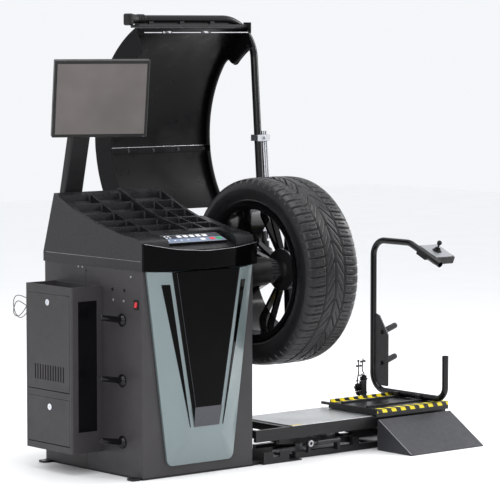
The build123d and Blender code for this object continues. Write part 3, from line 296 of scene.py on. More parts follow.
def make_finishes():
    return {
        "charcoal": powder_coat("charcoal_powder", (0.034, 0.0315, 0.033), 0.40, 2.8),
        "black": powder_coat("black_powder", (0.008, 0.008, 0.0085), 0.34, 2.4, 0.6),
        "ramp": powder_coat("ramp_powder", (0.028, 0.029, 0.034), 0.50, 2.0, 1.5),
        "tube": gloss_plastic("tube_enamel", (0.004, 0.004, 0.0045), 0.16, 0.04, 0.0, 0.30),
        "gloss": gloss_plastic("gloss_black", (0.0012, 0.0012, 0.0013), 0.05, 0.01, 0.0, 0.06),
        "peg": gloss_plastic("peg_black", (0.004, 0.004, 0.0045), 0.10, 0.03, 0.0, 0.25),
        "rim": gloss_plastic("rim_lacquer", (0.0025, 0.0025, 0.0028), 0.10, 0.02, 0.0, 0.16),
        "silver": metallic_paint("cover_silver", (0.150, 0.187, 0.194), 0.34),
        "tray": moulded("tray_plastic", (0.009, 0.009, 0.0105), 0.27, specular=0.38),
        "hood": moulded("hood_plastic", (0.003, 0.003, 0.0034), 0.32, 900, 0.0001, 0.09),
        "moulded": moulded("black_moulding", (0.007, 0.007, 0.0075), 0.38, specular=0.22),
        "monitor": moulded("monitor_moulding", (0.009, 0.0085, 0.0085), 0.38, 1200, 0.0002),
        "rubber": moulded("boot_rubber", (0.012, 0.012, 0.012), 0.62, 500, 0.0003),
        "red": gloss_plastic("switch_red", (0.55, 0.012, 0.020), 0.18, 0.06, 0.4),
        "key_red": moulded("key_red", (0.62, 0.030, 0.045), 0.40),
        "key_green": moulded("key_green", (0.010, 0.32, 0.085), 0.40),
        "key_white": moulded("key_white", (0.72, 0.72, 0.74), 0.42),
        "foil_blue": moulded("foil_blue", (0.145, 0.185, 0.270), 0.34, 1500, 0.0001),
        "foil_dark": moulded("foil_dark", (0.022, 0.026, 0.038), 0.34, 1500, 0.0001),
        "chrome": worn_metal("chrome_trim", (0.80, 0.81, 0.83), 0.12, (1, 1, 1), 300, 0.08),
        "steel": worn_metal("turned_steel", (0.50, 0.50, 0.52), 0.27, (40, 1, 1), 60, 0.3),
        "zinc": worn_metal("zinc_fasteners", (0.42, 0.42, 0.43), 0.34, (1, 1, 1), 500, 0.3),
        "blackened": worn_metal("blackened_steel", (0.030, 0.030, 0.032), 0.33, (24, 1, 1), 70, 0.2, 0.6),
        "aluminium": worn_metal("anodised_aluminium", (0.42, 0.43, 0.45), 0.40, (3, 3, 0.1), 240, 0.12),
        "plate": worn_metal("brushed_plate", (0.56, 0.57, 0.58), 0.30, (1, 30, 1), 60, 0.22),
        "iron": worn_metal("cast_iron", (0.060, 0.060, 0.064), 0.45, (1, 1, 1), 220, 0.3, 0.5),
        "sheet": worn_metal("dark_sheet", (0.030, 0.030, 0.033), 0.26, (1, 12, 1), 120, 0.2),
        "scoop": metallic_paint("scoop_grey", (0.027, 0.029, 0.036), 0.30),
        "blue": gloss_plastic("lock_blue", (0.02, 0.10, 0.42), 0.20, 0.05, 0.3),
        "yellow": gloss_plastic("yellow_cap", (0.75, 0.52, 0.02), 0.25, 0.1, 0.2),
        "motor": powder_coat("motor_paint", (0.055, 0.080, 0.115), 0.42),
        "board": moulded("board_laminate", (0.010, 0.095, 0.035), 0.40, 900, 0.0002),
        "tyre": tyre_rubber("tyre_rubber"),
        "screen": screen_panel("screen_film"),
        "hazard": striped("hazard_tape", (0.010, 0.010, 0.010), (0.86, 0.70, 0.02), 0.027, (1, 0.6, 0.6)),
        "chevron": striped("reflective_band", (0.05, 0.05, 0.055), (0.42, 0.43, 0.45), 0.020, (1, 0, 1), 0.2, 0.3),
        "label": gloss_plastic("label_film", (0.003, 0.003, 0.0035), 0.14, 0.03, 0.0, 0.2),
    }


FINISH = make_finishes()


# ---- mesh helpers -------------------------------------------------------------------
def place(name, mesh, finish, body, node=None):
    """Link a mesh as a piece with its finish, riding on a body, in place of a node if named."""
    piece = bpy.data.objects.new(name, mesh)
    bpy.context.scene.collection.objects.link(piece)
    mesh.materials.clear()
    mesh.materials.append(FINISH[finish])
    for polygon in mesh.polygons:
        polygon.use_smooth = True
    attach(piece, body)
    if node:
        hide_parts(*([node] if isinstance(node, str) else node))
    return piece


def from_bmesh(name, bm):
    mesh = bpy.data.meshes.new(name)
    bm.to_mesh(mesh)
    bm.free()
    return mesh


def rounded(piece, width, segments=3, angle=32):
    """Round the sharp edges, and keep the flats flat in the shading."""
    bevel = piece.modifiers.new("round", "BEVEL")
    bevel.width = width
    bevel.segments = segments
    bevel.limit_method = "ANGLE"
    bevel.angle_limit = math.radians(angle)
    bevel.miter_outer = "MITER_ARC"
    piece.modifiers.new("normals", "WEIGHTED_NORMAL").keep_sharp = True
    return piece


def refined(node, finish, width):
    """A copy of a CAD node with rounded edges, standing for it. Flats merge unless holes pierce them."""
    source = NODES[node]
    bm = bmesh.new()
    bm.from_mesh(source.data)
    bmesh.ops.remove_doubles(bm, verts=bm.verts, dist=WELD)
    if node not in PIERCED:
        bmesh.ops.dissolve_limit(bm, angle_limit=FLAT, verts=bm.verts, edges=bm.edges)
    name = node + "_finish"
    return rounded(place(name, from_bmesh(name, bm), finish, source["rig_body"], node), width)


def add_box(bm, low, high):
    low, high = Vector(low), Vector(high)
    for vert in bmesh.ops.create_cube(bm, size=1.0)["verts"]:
        vert.co = Vector([(low[i] + high[i]) / 2 + vert.co[i] * (high[i] - low[i]) for i in range(3)])


def skin(bm, near, far):
    """Quads between two closed rings of vertices."""
    for i in range(len(near)):
        j = (i + 1) % len(near)
        bm.faces.new((near[i], near[j], far[j], far[i]))


def aim(direction):
    """Rotation that turns +Z to a direction."""
    return Vector((0, 0, 1)).rotation_difference(Vector(direction).normalized()).to_matrix().to_4x4()


def add_turned(bm, origin, direction, profile, sides):
    """Turn a closed or open (height, radius) profile about a direction."""
    turn = Matrix.Translation(Vector(origin)) @ aim(direction)
    rings = []
    for height, radius in profile:
        if radius < 1e-7:
            rings.append([bm.verts.new(turn @ Vector((0, 0, height)))])
            continue
        rings.append([bm.verts.new(turn @ Vector((
            radius * math.cos(2 * math.pi * i / sides), radius * math.sin(2 * math.pi * i / sides), height)))
            for i in range(sides)])
    for near, far in zip(rings, rings[1:]):
        if len(near) == len(far) == sides:
            skin(bm, near, far)
        elif len(far) == sides:
            for i in range(sides):
                bm.faces.new((near[0], far[(i + 1) % sides], far[i]))
        elif len(near) == sides:
            for i in range(sides):
                bm.faces.new((near[i], near[(i + 1) % sides], far[0]))


def turned(name, origin, direction, profile, finish, body, sides):
    """One turned piece."""
    bm = bmesh.new()
    add_turned(bm, origin, direction, profile, sides)
    bmesh.ops.recalc_face_normals(bm, faces=bm.faces)
    return rounded(place(name, from_bmesh(name, bm), finish, body), 0.0006, 2, 40)


def boxes(name, limits, finish, body, width, node=None):
    """One piece of several rounded boxes."""
    bm = bmesh.new()
    for low, high in limits:
        add_box(bm, low, high)
    return rounded(place(name, from_bmesh(name, bm), finish, body, node), width, 2)


def wire(name, routes, radius, finish, body):
    """Round bar along smooth routes, turned into a mesh."""
    curve = bpy.data.curves.new(name, "CURVE")
    curve.dimensions = "3D"
    curve.bevel_depth = radius
    curve.bevel_resolution = 5
    curve.use_fill_caps = True
    for route in routes:
        spline = curve.splines.new("NURBS")
        spline.points.add(len(route) - 1)
        for point, spot in zip(spline.points, route):
            point.co = (*spot, 1)
        spline.order_u = 4
        spline.use_endpoint_u = True
        spline.resolution_u = 10
    holder = bpy.data.objects.new(name + "_curve", curve)
    bpy.context.scene.collection.objects.link(holder)
    bpy.context.view_layer.update()
    mesh = bpy.data.meshes.new_from_object(holder.evaluated_get(bpy.context.evaluated_depsgraph_get()))
    bpy.data.objects.remove(holder)
    mesh.name = name
    return place(name, mesh, finish, body)


def add_bolt(bm, spot, direction, across, head):
    """Hex head with a chamfered top, on a washer."""
    turn = Matrix.Translation(Vector(spot)) @ aim(direction)
    base = 0.0012
    washer = [(0, 0), (0, across * 0.85), (base, across * 0.85), (0.0015, across * 0.6)]
    add_turned(bm, spot, direction, washer, 24)
    radius = across / math.sqrt(3)
    rings = []
    for height, scale in ((base, 1.0), (base + head * 0.8, 1.0), (base + head, 0.86)):
        rings.append([bm.verts.new(turn @ Vector((radius * scale * math.cos(math.pi * i / 3),
                                                  radius * scale * math.sin(math.pi * i / 3), height)))
                      for i in range(6)])
    for near, far in zip(rings, rings[1:]):
        skin(bm, near, far)
    bm.faces.new(rings[-1])


def bolts(name, spots, finish, body, across, head):
    """spots holds (place, direction) pairs; all the bolts are one piece."""
    bm = bmesh.new()
    for spot, direction in spots:
        add_bolt(bm, spot, direction, across, head)
    return rounded(place(name, from_bmesh(name, bm), finish, body), 0.0004, 2)


# ---- places read off the CAD faces --------------------------------------------------
def axes(origin, across, normal):
    """Matrix whose Z is the normal and whose X lies across."""
    across, normal = Vector(across).normalized(), Vector(normal).normalized()
    up = normal.cross(across)
    turn = Matrix((across, up, normal)).transposed().to_4x4()
    return Matrix.Translation(Vector(origin)) @ turn


def face_frame(node, toward):
    """Frame on a node's largest flat face that looks about one way: X level, Z out of the face."""
    bm = bmesh.new()
    bm.from_mesh(NODES[node].data)
    bmesh.ops.remove_doubles(bm, verts=bm.verts, dist=WELD)
    bmesh.ops.dissolve_limit(bm, angle_limit=FLAT, verts=bm.verts, edges=bm.edges)
    toward = Vector(toward).normalized()
    face = max((f for f in bm.faces if f.normal.dot(toward) > 0.7), key=lambda f: f.calc_area())
    normal = face.normal.copy()
    centre = face.calc_center_bounds()
    bm.free()
    return axes(centre, Vector((0, 0, 1)).cross(normal), normal)


SCREEN_FRAME = face_frame("monitor_screen", (-0.4, -0.9, -0.25))
KEYPAD_FRAME = face_frame("keypad_panel", (0, -0.35, 0.95))
CONTROL_FRAME = face_frame("control_box", (0, -0.4, 0.92))


def local_boxes(name, place_at, limits, finish, body, width):
    """Rounded boxes given in a local frame, as one piece."""
    bm = bmesh.new()
    for low, high in limits:
        add_box(bm, low, high)
    bmesh.ops.transform(bm, matrix=place_at, verts=bm.verts)
    return rounded(place(name, from_bmesh(name, bm), finish, body), width, 2)


# ---- CAD nodes with refined edges ---------------------------------------------------
# nodes whose flats keep their triangles, because holes pierce them
PIERCED = {"cabinet_shell", "cable_rail", "carriage_deck", "platform_frame", "rear_panel", "upper_door"}
PLAIN_NODES = {               # node: (finish, rounding in mm)
    "base_plate": ("black", 1.2), "cabinet_shell": ("charcoal", 1.0), "rear_panel": ("charcoal", 0.5),
    "front_cover": ("silver", 2.0), "front_nose": ("gloss", 2.0), "fascia_cap": ("gloss", 2.2),
    "weight_tray": ("tray", 2.2), "keypad_panel": ("moulded", 1.4), "stop_key": ("key_red", 1.2),
    "start_key": ("key_green", 1.2), "switch_bezel": ("moulded", 0.8), "switch_rocker": ("red", 0.8),
    "weight_pegs": ("peg", 1.6), "storage_box": ("charcoal", 1.6), "upper_door": ("charcoal", 1.2),
    "lower_door": ("charcoal", 1.2), "upper_lock": ("chrome", 0.7), "lower_lock": ("chrome", 0.7),
    "monitor_post": ("black", 1.6), "monitor_yoke": ("black", 1.0), "monitor_housing": ("monitor", 2.0),
    "monitor_screen": ("screen", 0.2), "spindle_pedestal": ("iron", 1.2), "spindle_housing": ("black", 1.0),
    "bearings": ("steel", 0.6), "spindle_shaft": ("steel", 0.8), "drive_belt": ("rubber", 0.5),
    "drive_motor": ("motor", 1.2), "motor_shaft": ("steel", 0.5), "electronics": ("board", 0.4),
    "wheel_flange": ("blackened", 1.0), "centring_cone": ("steel", 0.8), "quick_nut": ("gloss", 1.6),
    "wheel_rim": ("rim", 2.4), "gauge_rod": ("chrome", 0.6), "gauge_arm": ("tube", 1.0),
    "guard_bracket": ("black", 1.4), "guard_arm": ("tube", 1.2), "guard_end_cap": ("moulded", 2.0),
    "hood_rail": ("black", 2.0), "upper_hood": ("hood", 1.4), "lower_hood": ("hood", 1.4),
    "cable_rail": ("aluminium", 0.8), "lift_base": ("black", 1.2), "right_arms": ("black", 1.0),
    "left_arms": ("black", 1.0), "platform_frame": ("black", 1.2), "platform_cover": ("plate", 1.0),
    "floor_link": ("black", 1.0), "air_cylinder": ("aluminium", 1.0), "cylinder_rod": ("steel", 0.6),
    "carriage_deck": ("black", 1.4), "deck_rollers": ("steel", 0.8), "handle_tube": ("tube", 0.8),
    "handle_gusset": ("black", 1.2), "control_box": ("moulded", 2.0), "joystick": ("moulded", 0.8),
    "ramp": ("ramp", 1.6),
}
for node_name, (finish_name, edge) in PLAIN_NODES.items():
    refined(node_name, finish_name, edge * MM)


# ---- tyre ---------------------------------------------------------------------------
PITCHES = 62                  # tread pitches round the tyre
STEPS = 18                    # mesh steps in one pitch
TREAD_HALF = 0.122            # half of the tread's width
TREAD_EDGE = 1.12             # where the pattern ends, in half widths
GROOVES = (-0.40, 0.0, 0.40)  # places of the three grooves, in half widths
SHOULDER_PITCH = 0.038        # length of one repeat of the shoulder cuts
CENTRE_PITCH = 0.060          # length of one repeat of the cuts between the grooves


def outer_profile():
    """(x, radius) from the inner bead round the tread to the outer bead, with x about the middle."""
    knots = [(-0.116, 0.279), (-0.124, 0.292), (-0.134, 0.305), (-0.1400, 0.338), (-0.1375, 0.362),
             (-0.1235, 0.3830), (-0.094, TYRE_R - 0.0021), (-0.047, TYRE_R - 0.0006), (0, TYRE_R - 0.0001)]
    knots += [(-x, r) for x, r in reversed(knots[:-1])]
    points = []
    for i in range(len(knots) - 1):
        before, start = Vector(knots[max(i - 1, 0)]), Vector(knots[i])
        end, after = Vector(knots[i + 1]), Vector(knots[min(i + 2, len(knots) - 1)])
        count = max(3, int((end - start).length / 0.0022))
        for step in range(count):
            t = step / count
            points.append(0.5 * (2 * start + (end - before) * t + (2 * before - 5 * start + 4 * end - after)
                                 * t * t + (3 * start - before - 3 * end + after) * t ** 3))
    return points + [Vector(knots[-1])]


def notch(distance, half, soft):
    """1 inside a groove, falling to 0 over a soft edge."""
    return min(1.0, max(0.0, (half + soft - abs(distance)) / soft))


def tread_cut(across, pitch):
    """Depth cut into the tread: across is -1..1, pitch counts the pattern's repeats."""
    if abs(across) > TREAD_EDGE:
        return 0.0
    depth = 0.0
    for groove in GROOVES:
        depth = max(depth, 0.0072 * notch((across - groove) * TREAD_HALF, 0.0044, 0.0014))
    side = abs(across)
    sweep = 0.9 * side - 0.45 * side * side
    if side > 0.45:
        phase = (pitch - sweep) % 1.0 - 0.5
        fade = min(1.0, (TREAD_EDGE - side) / 0.06)
        depth = max(depth, 0.0070 * fade * notch(phase * SHOULDER_PITCH, 0.0024, 0.0018))
        phase = (pitch - sweep + 0.5) % 1.0 - 0.5
        if 0.5 < side < 0.80:
            depth = max(depth, 0.0040 * notch(phase * SHOULDER_PITCH, 0.0008, 0.0016))
    elif 0.04 < side < 0.37:
        phase = (pitch / 2 - 2.6 * side) % 1.0 - 0.5
        reach = min(1.0, (side - 0.04) / 0.04)
        depth = max(depth, 0.0066 * reach * notch(phase * CENTRE_PITCH, 0.0030, 0.0022))
        phase = (pitch / 2 - 2.6 * side + 0.5) % 1.0 - 0.5
        if side > 0.14:
            depth = max(depth, 0.0036 * notch(phase * CENTRE_PITCH, 0.0010, 0.0018))
    return depth


def sidewall_raise(radius, pitch):
    """Small raised rings and a serrated band on the sidewalls."""
    raised = 0.0009 * notch(radius - 0.3040, 0.0012, 0.0012)
    raised += 0.0006 * notch(radius - 0.3600, 0.0006, 0.001)
    raised += 0.0005 * notch(radius - 0.3140, 0.0004, 0.0009)
    if 0.322 < radius < 0.352:
        raised += 0.0004 * notch(((pitch * 3) % 1.0 - 0.5) * 0.012, 0.0016, 0.0014)
    return raised


def build_tyre():
    """The tyre's outer skin with tread and sidewalls, closed by its inner skin."""
    bm = bmesh.new()
    outer = outer_profile()
    inner = [Vector(p) for p in ((0.104, 0.279), (0.110, 0.315), (0.104, 0.366), (0, 0.378),
                                 (-0.104, 0.366), (-0.110, 0.315), (-0.104, 0.279))]
    total = PITCHES * STEPS
    rings = []
    for step in range(total):
        angle = 2 * math.pi * step / total
        pitch = step / STEPS
        section = []
        for x, radius in outer:
            if radius > TYRE_R - 0.022:
                radius -= tread_cut(x / TREAD_HALF, pitch)
            else:
                x += math.copysign(sidewall_raise(radius, pitch), x)
            section.append((x, radius))
        section += inner
        rings.append([bm.verts.new((SPINDLE.x + x, SPINDLE.y + radius * math.cos(angle),
                                    SPINDLE.z + radius * math.sin(angle))) for x, radius in section])
    for step in range(total):
        skin(bm, rings[step], rings[(step + 1) % total])
    bmesh.ops.recalc_face_normals(bm, faces=bm.faces)
    place("tyre_finish", from_bmesh("tyre_finish", bm), "tyre", "spindle", "tyre")


build_tyre()


# ---- cabinet details ----------------------------------------------------------------
def cover_depth(x, z):
    """Y of the cover's side bevel, which is ruled from its crown's edge to its rim's."""
    part = 0.3
    for _ in range(6):
        down = (0.826 + 0.006 * part - z) / (0.661 + 0.126 * part)
        part = (abs(x) - 0.180 + 0.096 * down) / (0.092 - 0.008 * down)
    return cover_low.y + 0.038 * max(0.0, part)


def build_cover_inlays():
    """Two tapered black inlays that stand a little proud of the cover's side bevels."""
    rows = 16
    for side, word in ((-1, "left"), (1, "right")):
        bm = bmesh.new()
        grid = []
        for row in range(rows + 1):
            t = row / rows
            z = 0.778 - 0.578 * t
            inner, outer = 0.1826 - 0.1000 * t, 0.2151 - 0.1310 * t
            grid.append([bm.verts.new((side * x, cover_depth(x, z) + lift, z))
                         for x, lift in ((inner, -0.0030), (outer, -0.0030), (outer, 0.004), (inner, 0.004))])
        for near, far in zip(grid, grid[1:]):
            skin(bm, near, far)
        bm.faces.new(grid[0])
        bm.faces.new(grid[-1])
        bmesh.ops.recalc_face_normals(bm, faces=bm.faces)
        name = "cover_inlay_" + word
        rounded(place(name, from_bmesh(name, bm), "gloss", "machine"), 0.0009, 3, 20)


def build_front_trim():
    """Scoop under the nose, lines down its edges, and zinc beads along the cap's and the tray's edges that paint the
    highlights on those edges.
    """
    bm = bmesh.new()
    nose_front, nose_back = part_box("front_nose")[0].y, -0.3802
    outline = [(-0.0690, nose_front - 0.0002, 0.2805), (0.0690, nose_front - 0.0002, 0.2805),
               (0.0645, nose_back - 0.0006, 0.2000), (-0.0645, nose_back - 0.0006, 0.2000)]
    sheets = [[bm.verts.new((x, y - lift, z - lift)) for x, y, z in outline] for lift in (0.0, 0.0008)]
    skin(bm, *sheets)
    for sheet in sheets:
        bm.faces.new(sheet)
    bmesh.ops.recalc_face_normals(bm, faces=bm.faces)
    rounded(place("nose_scoop", from_bmesh("nose_scoop", bm), "scoop", "machine"), 0.0003, 2)
    for side, word in ((-1, "left"), (1, "right")):
        edge = [(side * x, nose_front + 0.0002, z) for x, z in ((0.1602, 0.826), (0.0662, 0.283))]
        wire("nose_edge_" + word, [edge], 0.0007, "scoop", "machine")
    cap_low, cap_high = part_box("fascia_cap")
    half = (cap_high.x - cap_low.x) / 2
    middle = (cap_high.x + cap_low.x) / 2
    # (x, z) along the cap's upper edge
    heights = ((-0.288, 0.942), (-0.150, 0.916), (0.0, 0.905), (0.150, 0.909), (0.295, 0.922))
    # painted highlight: a bright zinc bead along the cap's upper edge stands for the catch-light on that edge
    bead = []
    for step in range(25):
        x = cap_low.x + 0.003 + (2 * half - 0.006) * step / 24
        below = max(i for i in range(4) if heights[i][0] <= max(x, -0.2879))
        (x0, z0), (x1, z1) = heights[below], heights[below + 1]
        z = z0 + (z1 - z0) * min(1.0, max(0.0, (x - x0) / (x1 - x0)))
        bow = 1 - ((x - middle) / half) ** 2
        bead.append((x, cap_low.y + 0.044 * (1 - bow) + 0.0008, z + 0.0002))
    wire("cap_highlight_bead", [bead], 0.0009, "zinc", "machine")
    # painted highlight: a bright zinc bead along the tray's side lip stands for the catch-light on its folded edge
    lip = tray_low.x - 0.0002
    wire("tray_highlight_bead", [[(lip, y, 0.8715) for y in (-0.325, -0.12, 0.1, 0.315)]], 0.0008, "zinc", "machine")


def build_side_details():
    """Hole plugs and screws on the left side, with the label strip and wire hanger of the box."""
    left = shell_low.x
    for i, (y, z, radius) in enumerate(((-135, 750, 5), (-214, 750, 5), (-140, 707, 3.5), (-209, 707, 3.5),
                                        (-256, 807, 3), (93, 825, 3), (66, 825, 3), (41, 813, 3))):
        r = radius * MM
        turned(f"side_plug_{i}", (left, y * MM, z * MM), (-1, 0, 0),
               [(0, 0), (0, r * 1.5), (0.0012, r * 1.35), (0.0018, r), (0.0010, r * 0.7), (0.0010, 0)],
               "peg" if i < 2 or i > 6 else "zinc", "machine", 28)
    boxes("box_label", [((box_low.x + 0.032, box_low.y - 0.0011, 0.173),
                         (box_low.x + 0.124, box_low.y, 0.700))], "label", "machine", 0.0004)
    x = box_low.x + 0.014
    rear = box_high.y
    routes = []
    for shift, loop in ((0, ((250, 690), (300, 702), (345, 700), (356, 668), (349, 632), (322, 606), (290, 606),
                             (250, 640))),
                        (0.005, ((250, 680), (282, 640), (318, 612), (348, 610), (366, 628), (352, 660), (330, 682),
                                 (290, 668), (250, 652)))):
        routes.append([(x + shift, y * MM, z * MM) for y, z in loop])
    wire("wire_hanger", routes, 0.0016, "peg", "machine")
    boxes("hanger_clip", [((x - 0.008, rear, 0.630), (x + 0.012, rear + 0.005, 0.700))], "peg", "machine", 0.0012)


def build_box_details():
    """Blue key discs in the locks, and the seam of the left side above and below the box."""
    for word in ("upper", "lower"):
        low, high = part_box(word + "_lock")
        centre = Vector((low.x, low.y + 0.013, (low.z + high.z) / 2))
        disc = [(-0.0009, 0), (-0.0009, 0.0078), (-0.0004, 0.0078), (-0.0001, 0.0070),
                (-0.0001, 0.0016), (-0.0005, 0.0)]
        turned(word + "_lock_disc", centre, (-1, 0, 0), disc, "blue", word + "_lock", 48)
    seam = 0.042
    left = shell_low.x
    boxes("side_seam", [((left - 0.0003, seam - 0.0006, bottom), (left + 0.0004, seam + 0.0006, top))
                        for bottom, top in ((box_high.z + 0.002, 0.832), (0.010, box_low.z - 0.002))],
          "rubber", "machine", 0.0001)


def build_rear_details():
    """Power inlet, cooling louvres and panel screws at the back."""
    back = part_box("rear_panel")[1].y
    louvres = [((-0.15, back, 0.300 + i * 0.022), (0.05, back + 0.004, 0.310 + i * 0.022))
               for i in range(9)]
    boxes("rear_louvres", louvres, "charcoal", "machine", 0.0016)
    boxes("power_inlet", [((0.12, back, 0.280), (0.17, back + 0.010, 0.345))], "moulded", "machine", 0.002)
    boxes("inlet_pins", [((0.131 + i * 0.011, back + 0.006, 0.322 - 0.008 * (i % 2)),
                          (0.135 + i * 0.011, back + 0.0104, 0.328 - 0.008 * (i % 2))) for i in range(3)],
          "steel", "machine", 0.0003)
    spots = [((x, back, z), (0, 1, 0)) for x in (-0.24, 0, 0.24) for z in (0.12, 0.45, 0.78)]
    bolts("rear_screws", spots, "zinc", "machine", 0.008, 0.003)


def build_keypad():
    """Printed foil bands and raised keys on the sloping panel, with no lettering."""
    k = KEYPAD_FRAME
    for word, y0, y1, finish in (("upper", 0.003, 0.036, "foil_dark"), ("lower", -0.036, 0.002, "foil_blue")):
        local_boxes("foil_band_" + word, k, [((-0.152, y0, -0.0002), (0.152, y1, 0.0007))],
                    finish, "machine", 0.0003)
    w, h, edge, proud = 0.1545, 0.038, 0.0012, 0.0009
    local_boxes("foil_outline", k, [((-w, 0.037, 0), (w, 0.037 + edge, proud)), ((-w, -h, 0), (w, -h + edge, proud)),
                                    ((-w, -h, 0), (-w + edge, h, proud)), ((w - edge, -h, 0), (w, h, proud))],
                "chrome", "machine", 0.0003)
    keys = [((-0.062 + i * 0.033, 0.010, 0), (-0.041 + i * 0.033, 0.029, 0.0017)) for i in range(5)]
    keys.append(((0.036, -0.025, 0), (0.058, -0.007, 0.0017)))
    local_boxes("printed_keys", k, keys, "key_white", "machine", 0.0012)
    marks = []
    for i in range(3):
        for j in range(2):
            x, y = i * 0.017, j * 0.014
            marks.append(((-0.140 + x, 0.009 + y, 0), (-0.131 + x, 0.016 + y, proud)))
    for i in range(4):
        marks.append(((-0.135 + i * 0.034, -0.018, 0), (-0.125 + i * 0.034, -0.012, proud)))
    local_boxes("printed_marks", k, marks, "key_white", "machine", 0.0003)


def build_monitor_details():
    """Buttons and lamp on the lower bezel, the screen's gasket, and vents on the back."""
    m = SCREEN_FRAME
    low = -0.1580
    buttons = [((0.105 + i * 0.014, low - 0.0016, 0.0022), (0.114 + i * 0.014, low + 0.0018, 0.0042))
               for i in range(5)]
    local_boxes("monitor_buttons", m, buttons, "moulded", "monitor", 0.0005)
    local_boxes("monitor_lamp", m, [((0.181, low - 0.0010, 0.0022), (0.185, low + 0.0010, 0.0034))],
                "foil_blue", "monitor", 0.0003)
    w, h, gasket, under, proud = 0.1878, 0.1503, 0.0016, -0.0001, 0.0022
    local_boxes("screen_gasket", m, [((-w, h - gasket, under), (w, h, proud)),
                                     ((-w, -h, under), (w, -h + gasket, proud)),
                                     ((-w, -h, under), (-w + gasket, h, proud)),
                                     ((w - gasket, -h, under), (w, h, proud))],
                "rubber", "monitor", 0.0004)
    vents = [((-0.150 + i * 0.010, 0.132, -0.0305), (-0.145 + i * 0.010, 0.150, -0.0270))
             for i in range(31)]
    local_boxes("monitor_vents", m, vents, "rubber", "monitor", 0.0004)


build_cover_inlays()
build_front_trim()
build_side_details()
build_box_details()
build_rear_details()
build_keypad()
build_monitor_details()


# ---- guard details ------------------------------------------------------------------
HOOD_AXIS = Vector((0, 0.249, 1.314))    # middle of the hood's round, in Y and Z
HOOD_R = 0.534
SEAM_ANGLE = -7.4                        # degrees, where the hood's halves meet


def hood_point(x, angle, radius):
    """Point at an angle in degrees and a radius about the hood's middle."""
    a = math.radians(angle)
    return Vector((x, HOOD_AXIS.y + radius * math.cos(a), HOOD_AXIS.z + radius * math.sin(a)))


def build_hood_details():
    """Strip and bolts of the seam, a chrome bead along it that paints the seam's highlight line, the shells' round
    lips, and the trim of the upper rail.
    """
    bm = bmesh.new()
    x0, x1 = hood_low.x + 0.008, hood_high.x - 0.008
    strip = ((-8.8, 0.5300), (-8.8, 0.5270), (SEAM_ANGLE, 0.5266), (-6.0, 0.5270), (-6.0, 0.5300))
    near, far = [[bm.verts.new(hood_point(x, angle, radius)) for angle, radius in strip] for x in (x0, x1)]
    skin(bm, near, far)
    bm.faces.new(near)
    bm.faces.new(far[::-1])
    bmesh.ops.recalc_face_normals(bm, faces=bm.faces)
    rounded(place("hood_seam_strip", from_bmesh("hood_seam_strip", bm), "hood", "guard"), 0.0008, 2)
    inward = hood_point(0, SEAM_ANGLE, 0) - hood_point(0, SEAM_ANGLE, 1)
    spots = [(hood_point(x0 + (x1 - x0) * t, SEAM_ANGLE, 0.5270), inward)
             for t in (0.03, 0.27, 0.5, 0.73, 0.97)]
    bolts("hood_seam_bolts", spots, "blackened", "guard", 0.010, 0.004)
    lip = 0.0105
    edge = hood_high.x - lip
    lower = [hood_point(edge, angle, HOOD_R - 0.022) for angle in range(-37, -8, 4)]
    upper = [hood_point(edge, angle, HOOD_R - 0.022) for angle in range(-6, 39, 4)]
    ear = [hood_point(edge, angle, radius) for angle, radius in (
        (42.3, 0.506), (44.3, 0.492), (44.5, 0.476), (44.6, 0.462), (46.0, 0.4515), (48.5, 0.4496),
        (54.0, 0.4496), (61.0, 0.4496))]
    wire("upper_hood_lip", [upper + ear], lip, "hood", "guard")
    wire("lower_hood_lip", [lower], lip, "hood", "guard")
    # painted highlight: a chrome bead along the seam stands for the light line that the seam's edge catches
    bead = [hood_point(x0 + (x1 - x0) * t, SEAM_ANGLE + 1.7, 0.5285) for t in (0, 0.3, 0.6, 1)]
    wire("hood_seam_highlight_bead", [bead], 0.0012, "chrome", "guard")
    rail_low, rail_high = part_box("hood_rail")
    boxes("rail_filler", [((rail_low.x + 0.020, 0.532, 1.803), (rail_high.x - 0.040, 0.548, 1.812))],
          "black", "guard", 0.0008)
    z0 = rail_low.z + 0.002
    length = rail_high.x - rail_low.x
    for name, spans, bottom, top, finish, width in (
            ("rail_trim", ((0.02, 0.18), (0.27, 0.53), (0.62, 0.97)), z0, z0 + 0.0036, "chrome", 0.0003),
            ("rail_band", ((0.19, 0.26), (0.54, 0.61)), z0 - 0.001, z0 + 0.0075, "chevron", 0.0002)):
        boxes(name, [((rail_low.x + length * a, rail_low.y - 0.0009, bottom),
                      (rail_low.x + length * b, rail_low.y + 0.0004, top)) for a, b in spans],
              finish, "guard", width)


def build_wheel_details():
    """Valve stem with its cap, and the flange's bright ring."""
    turned("valve_stem", (0.626, SPINDLE.y, SPINDLE.z + 0.258), (0.45, 0, -1),
           [(0, 0), (0, 0.0072), (0.006, 0.0068), (0.010, 0.0045), (0.026, 0.0042), (0.028, 0.0050),
            (0.040, 0.0050), (0.042, 0.0040), (0.042, 0)], "rubber", "spindle", 28)
    flange_low, flange_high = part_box("wheel_flange")
    edge = (flange_high.z - flange_low.z) / 2
    x = flange_high.x - 0.010
    turned("flange_ring", (x, SPINDLE.y, SPINDLE.z), (1, 0, 0),
           [(-0.004, edge - 0.001), (-0.004, edge + 0.0004), (0.004, edge + 0.0004), (0.004, edge - 0.001)],
           "steel", "spindle", 96)


build_hood_details()
build_wheel_details()


# ---- lift, carriage and handle details ----------------------------------------------
DECK_TOP = 0.172


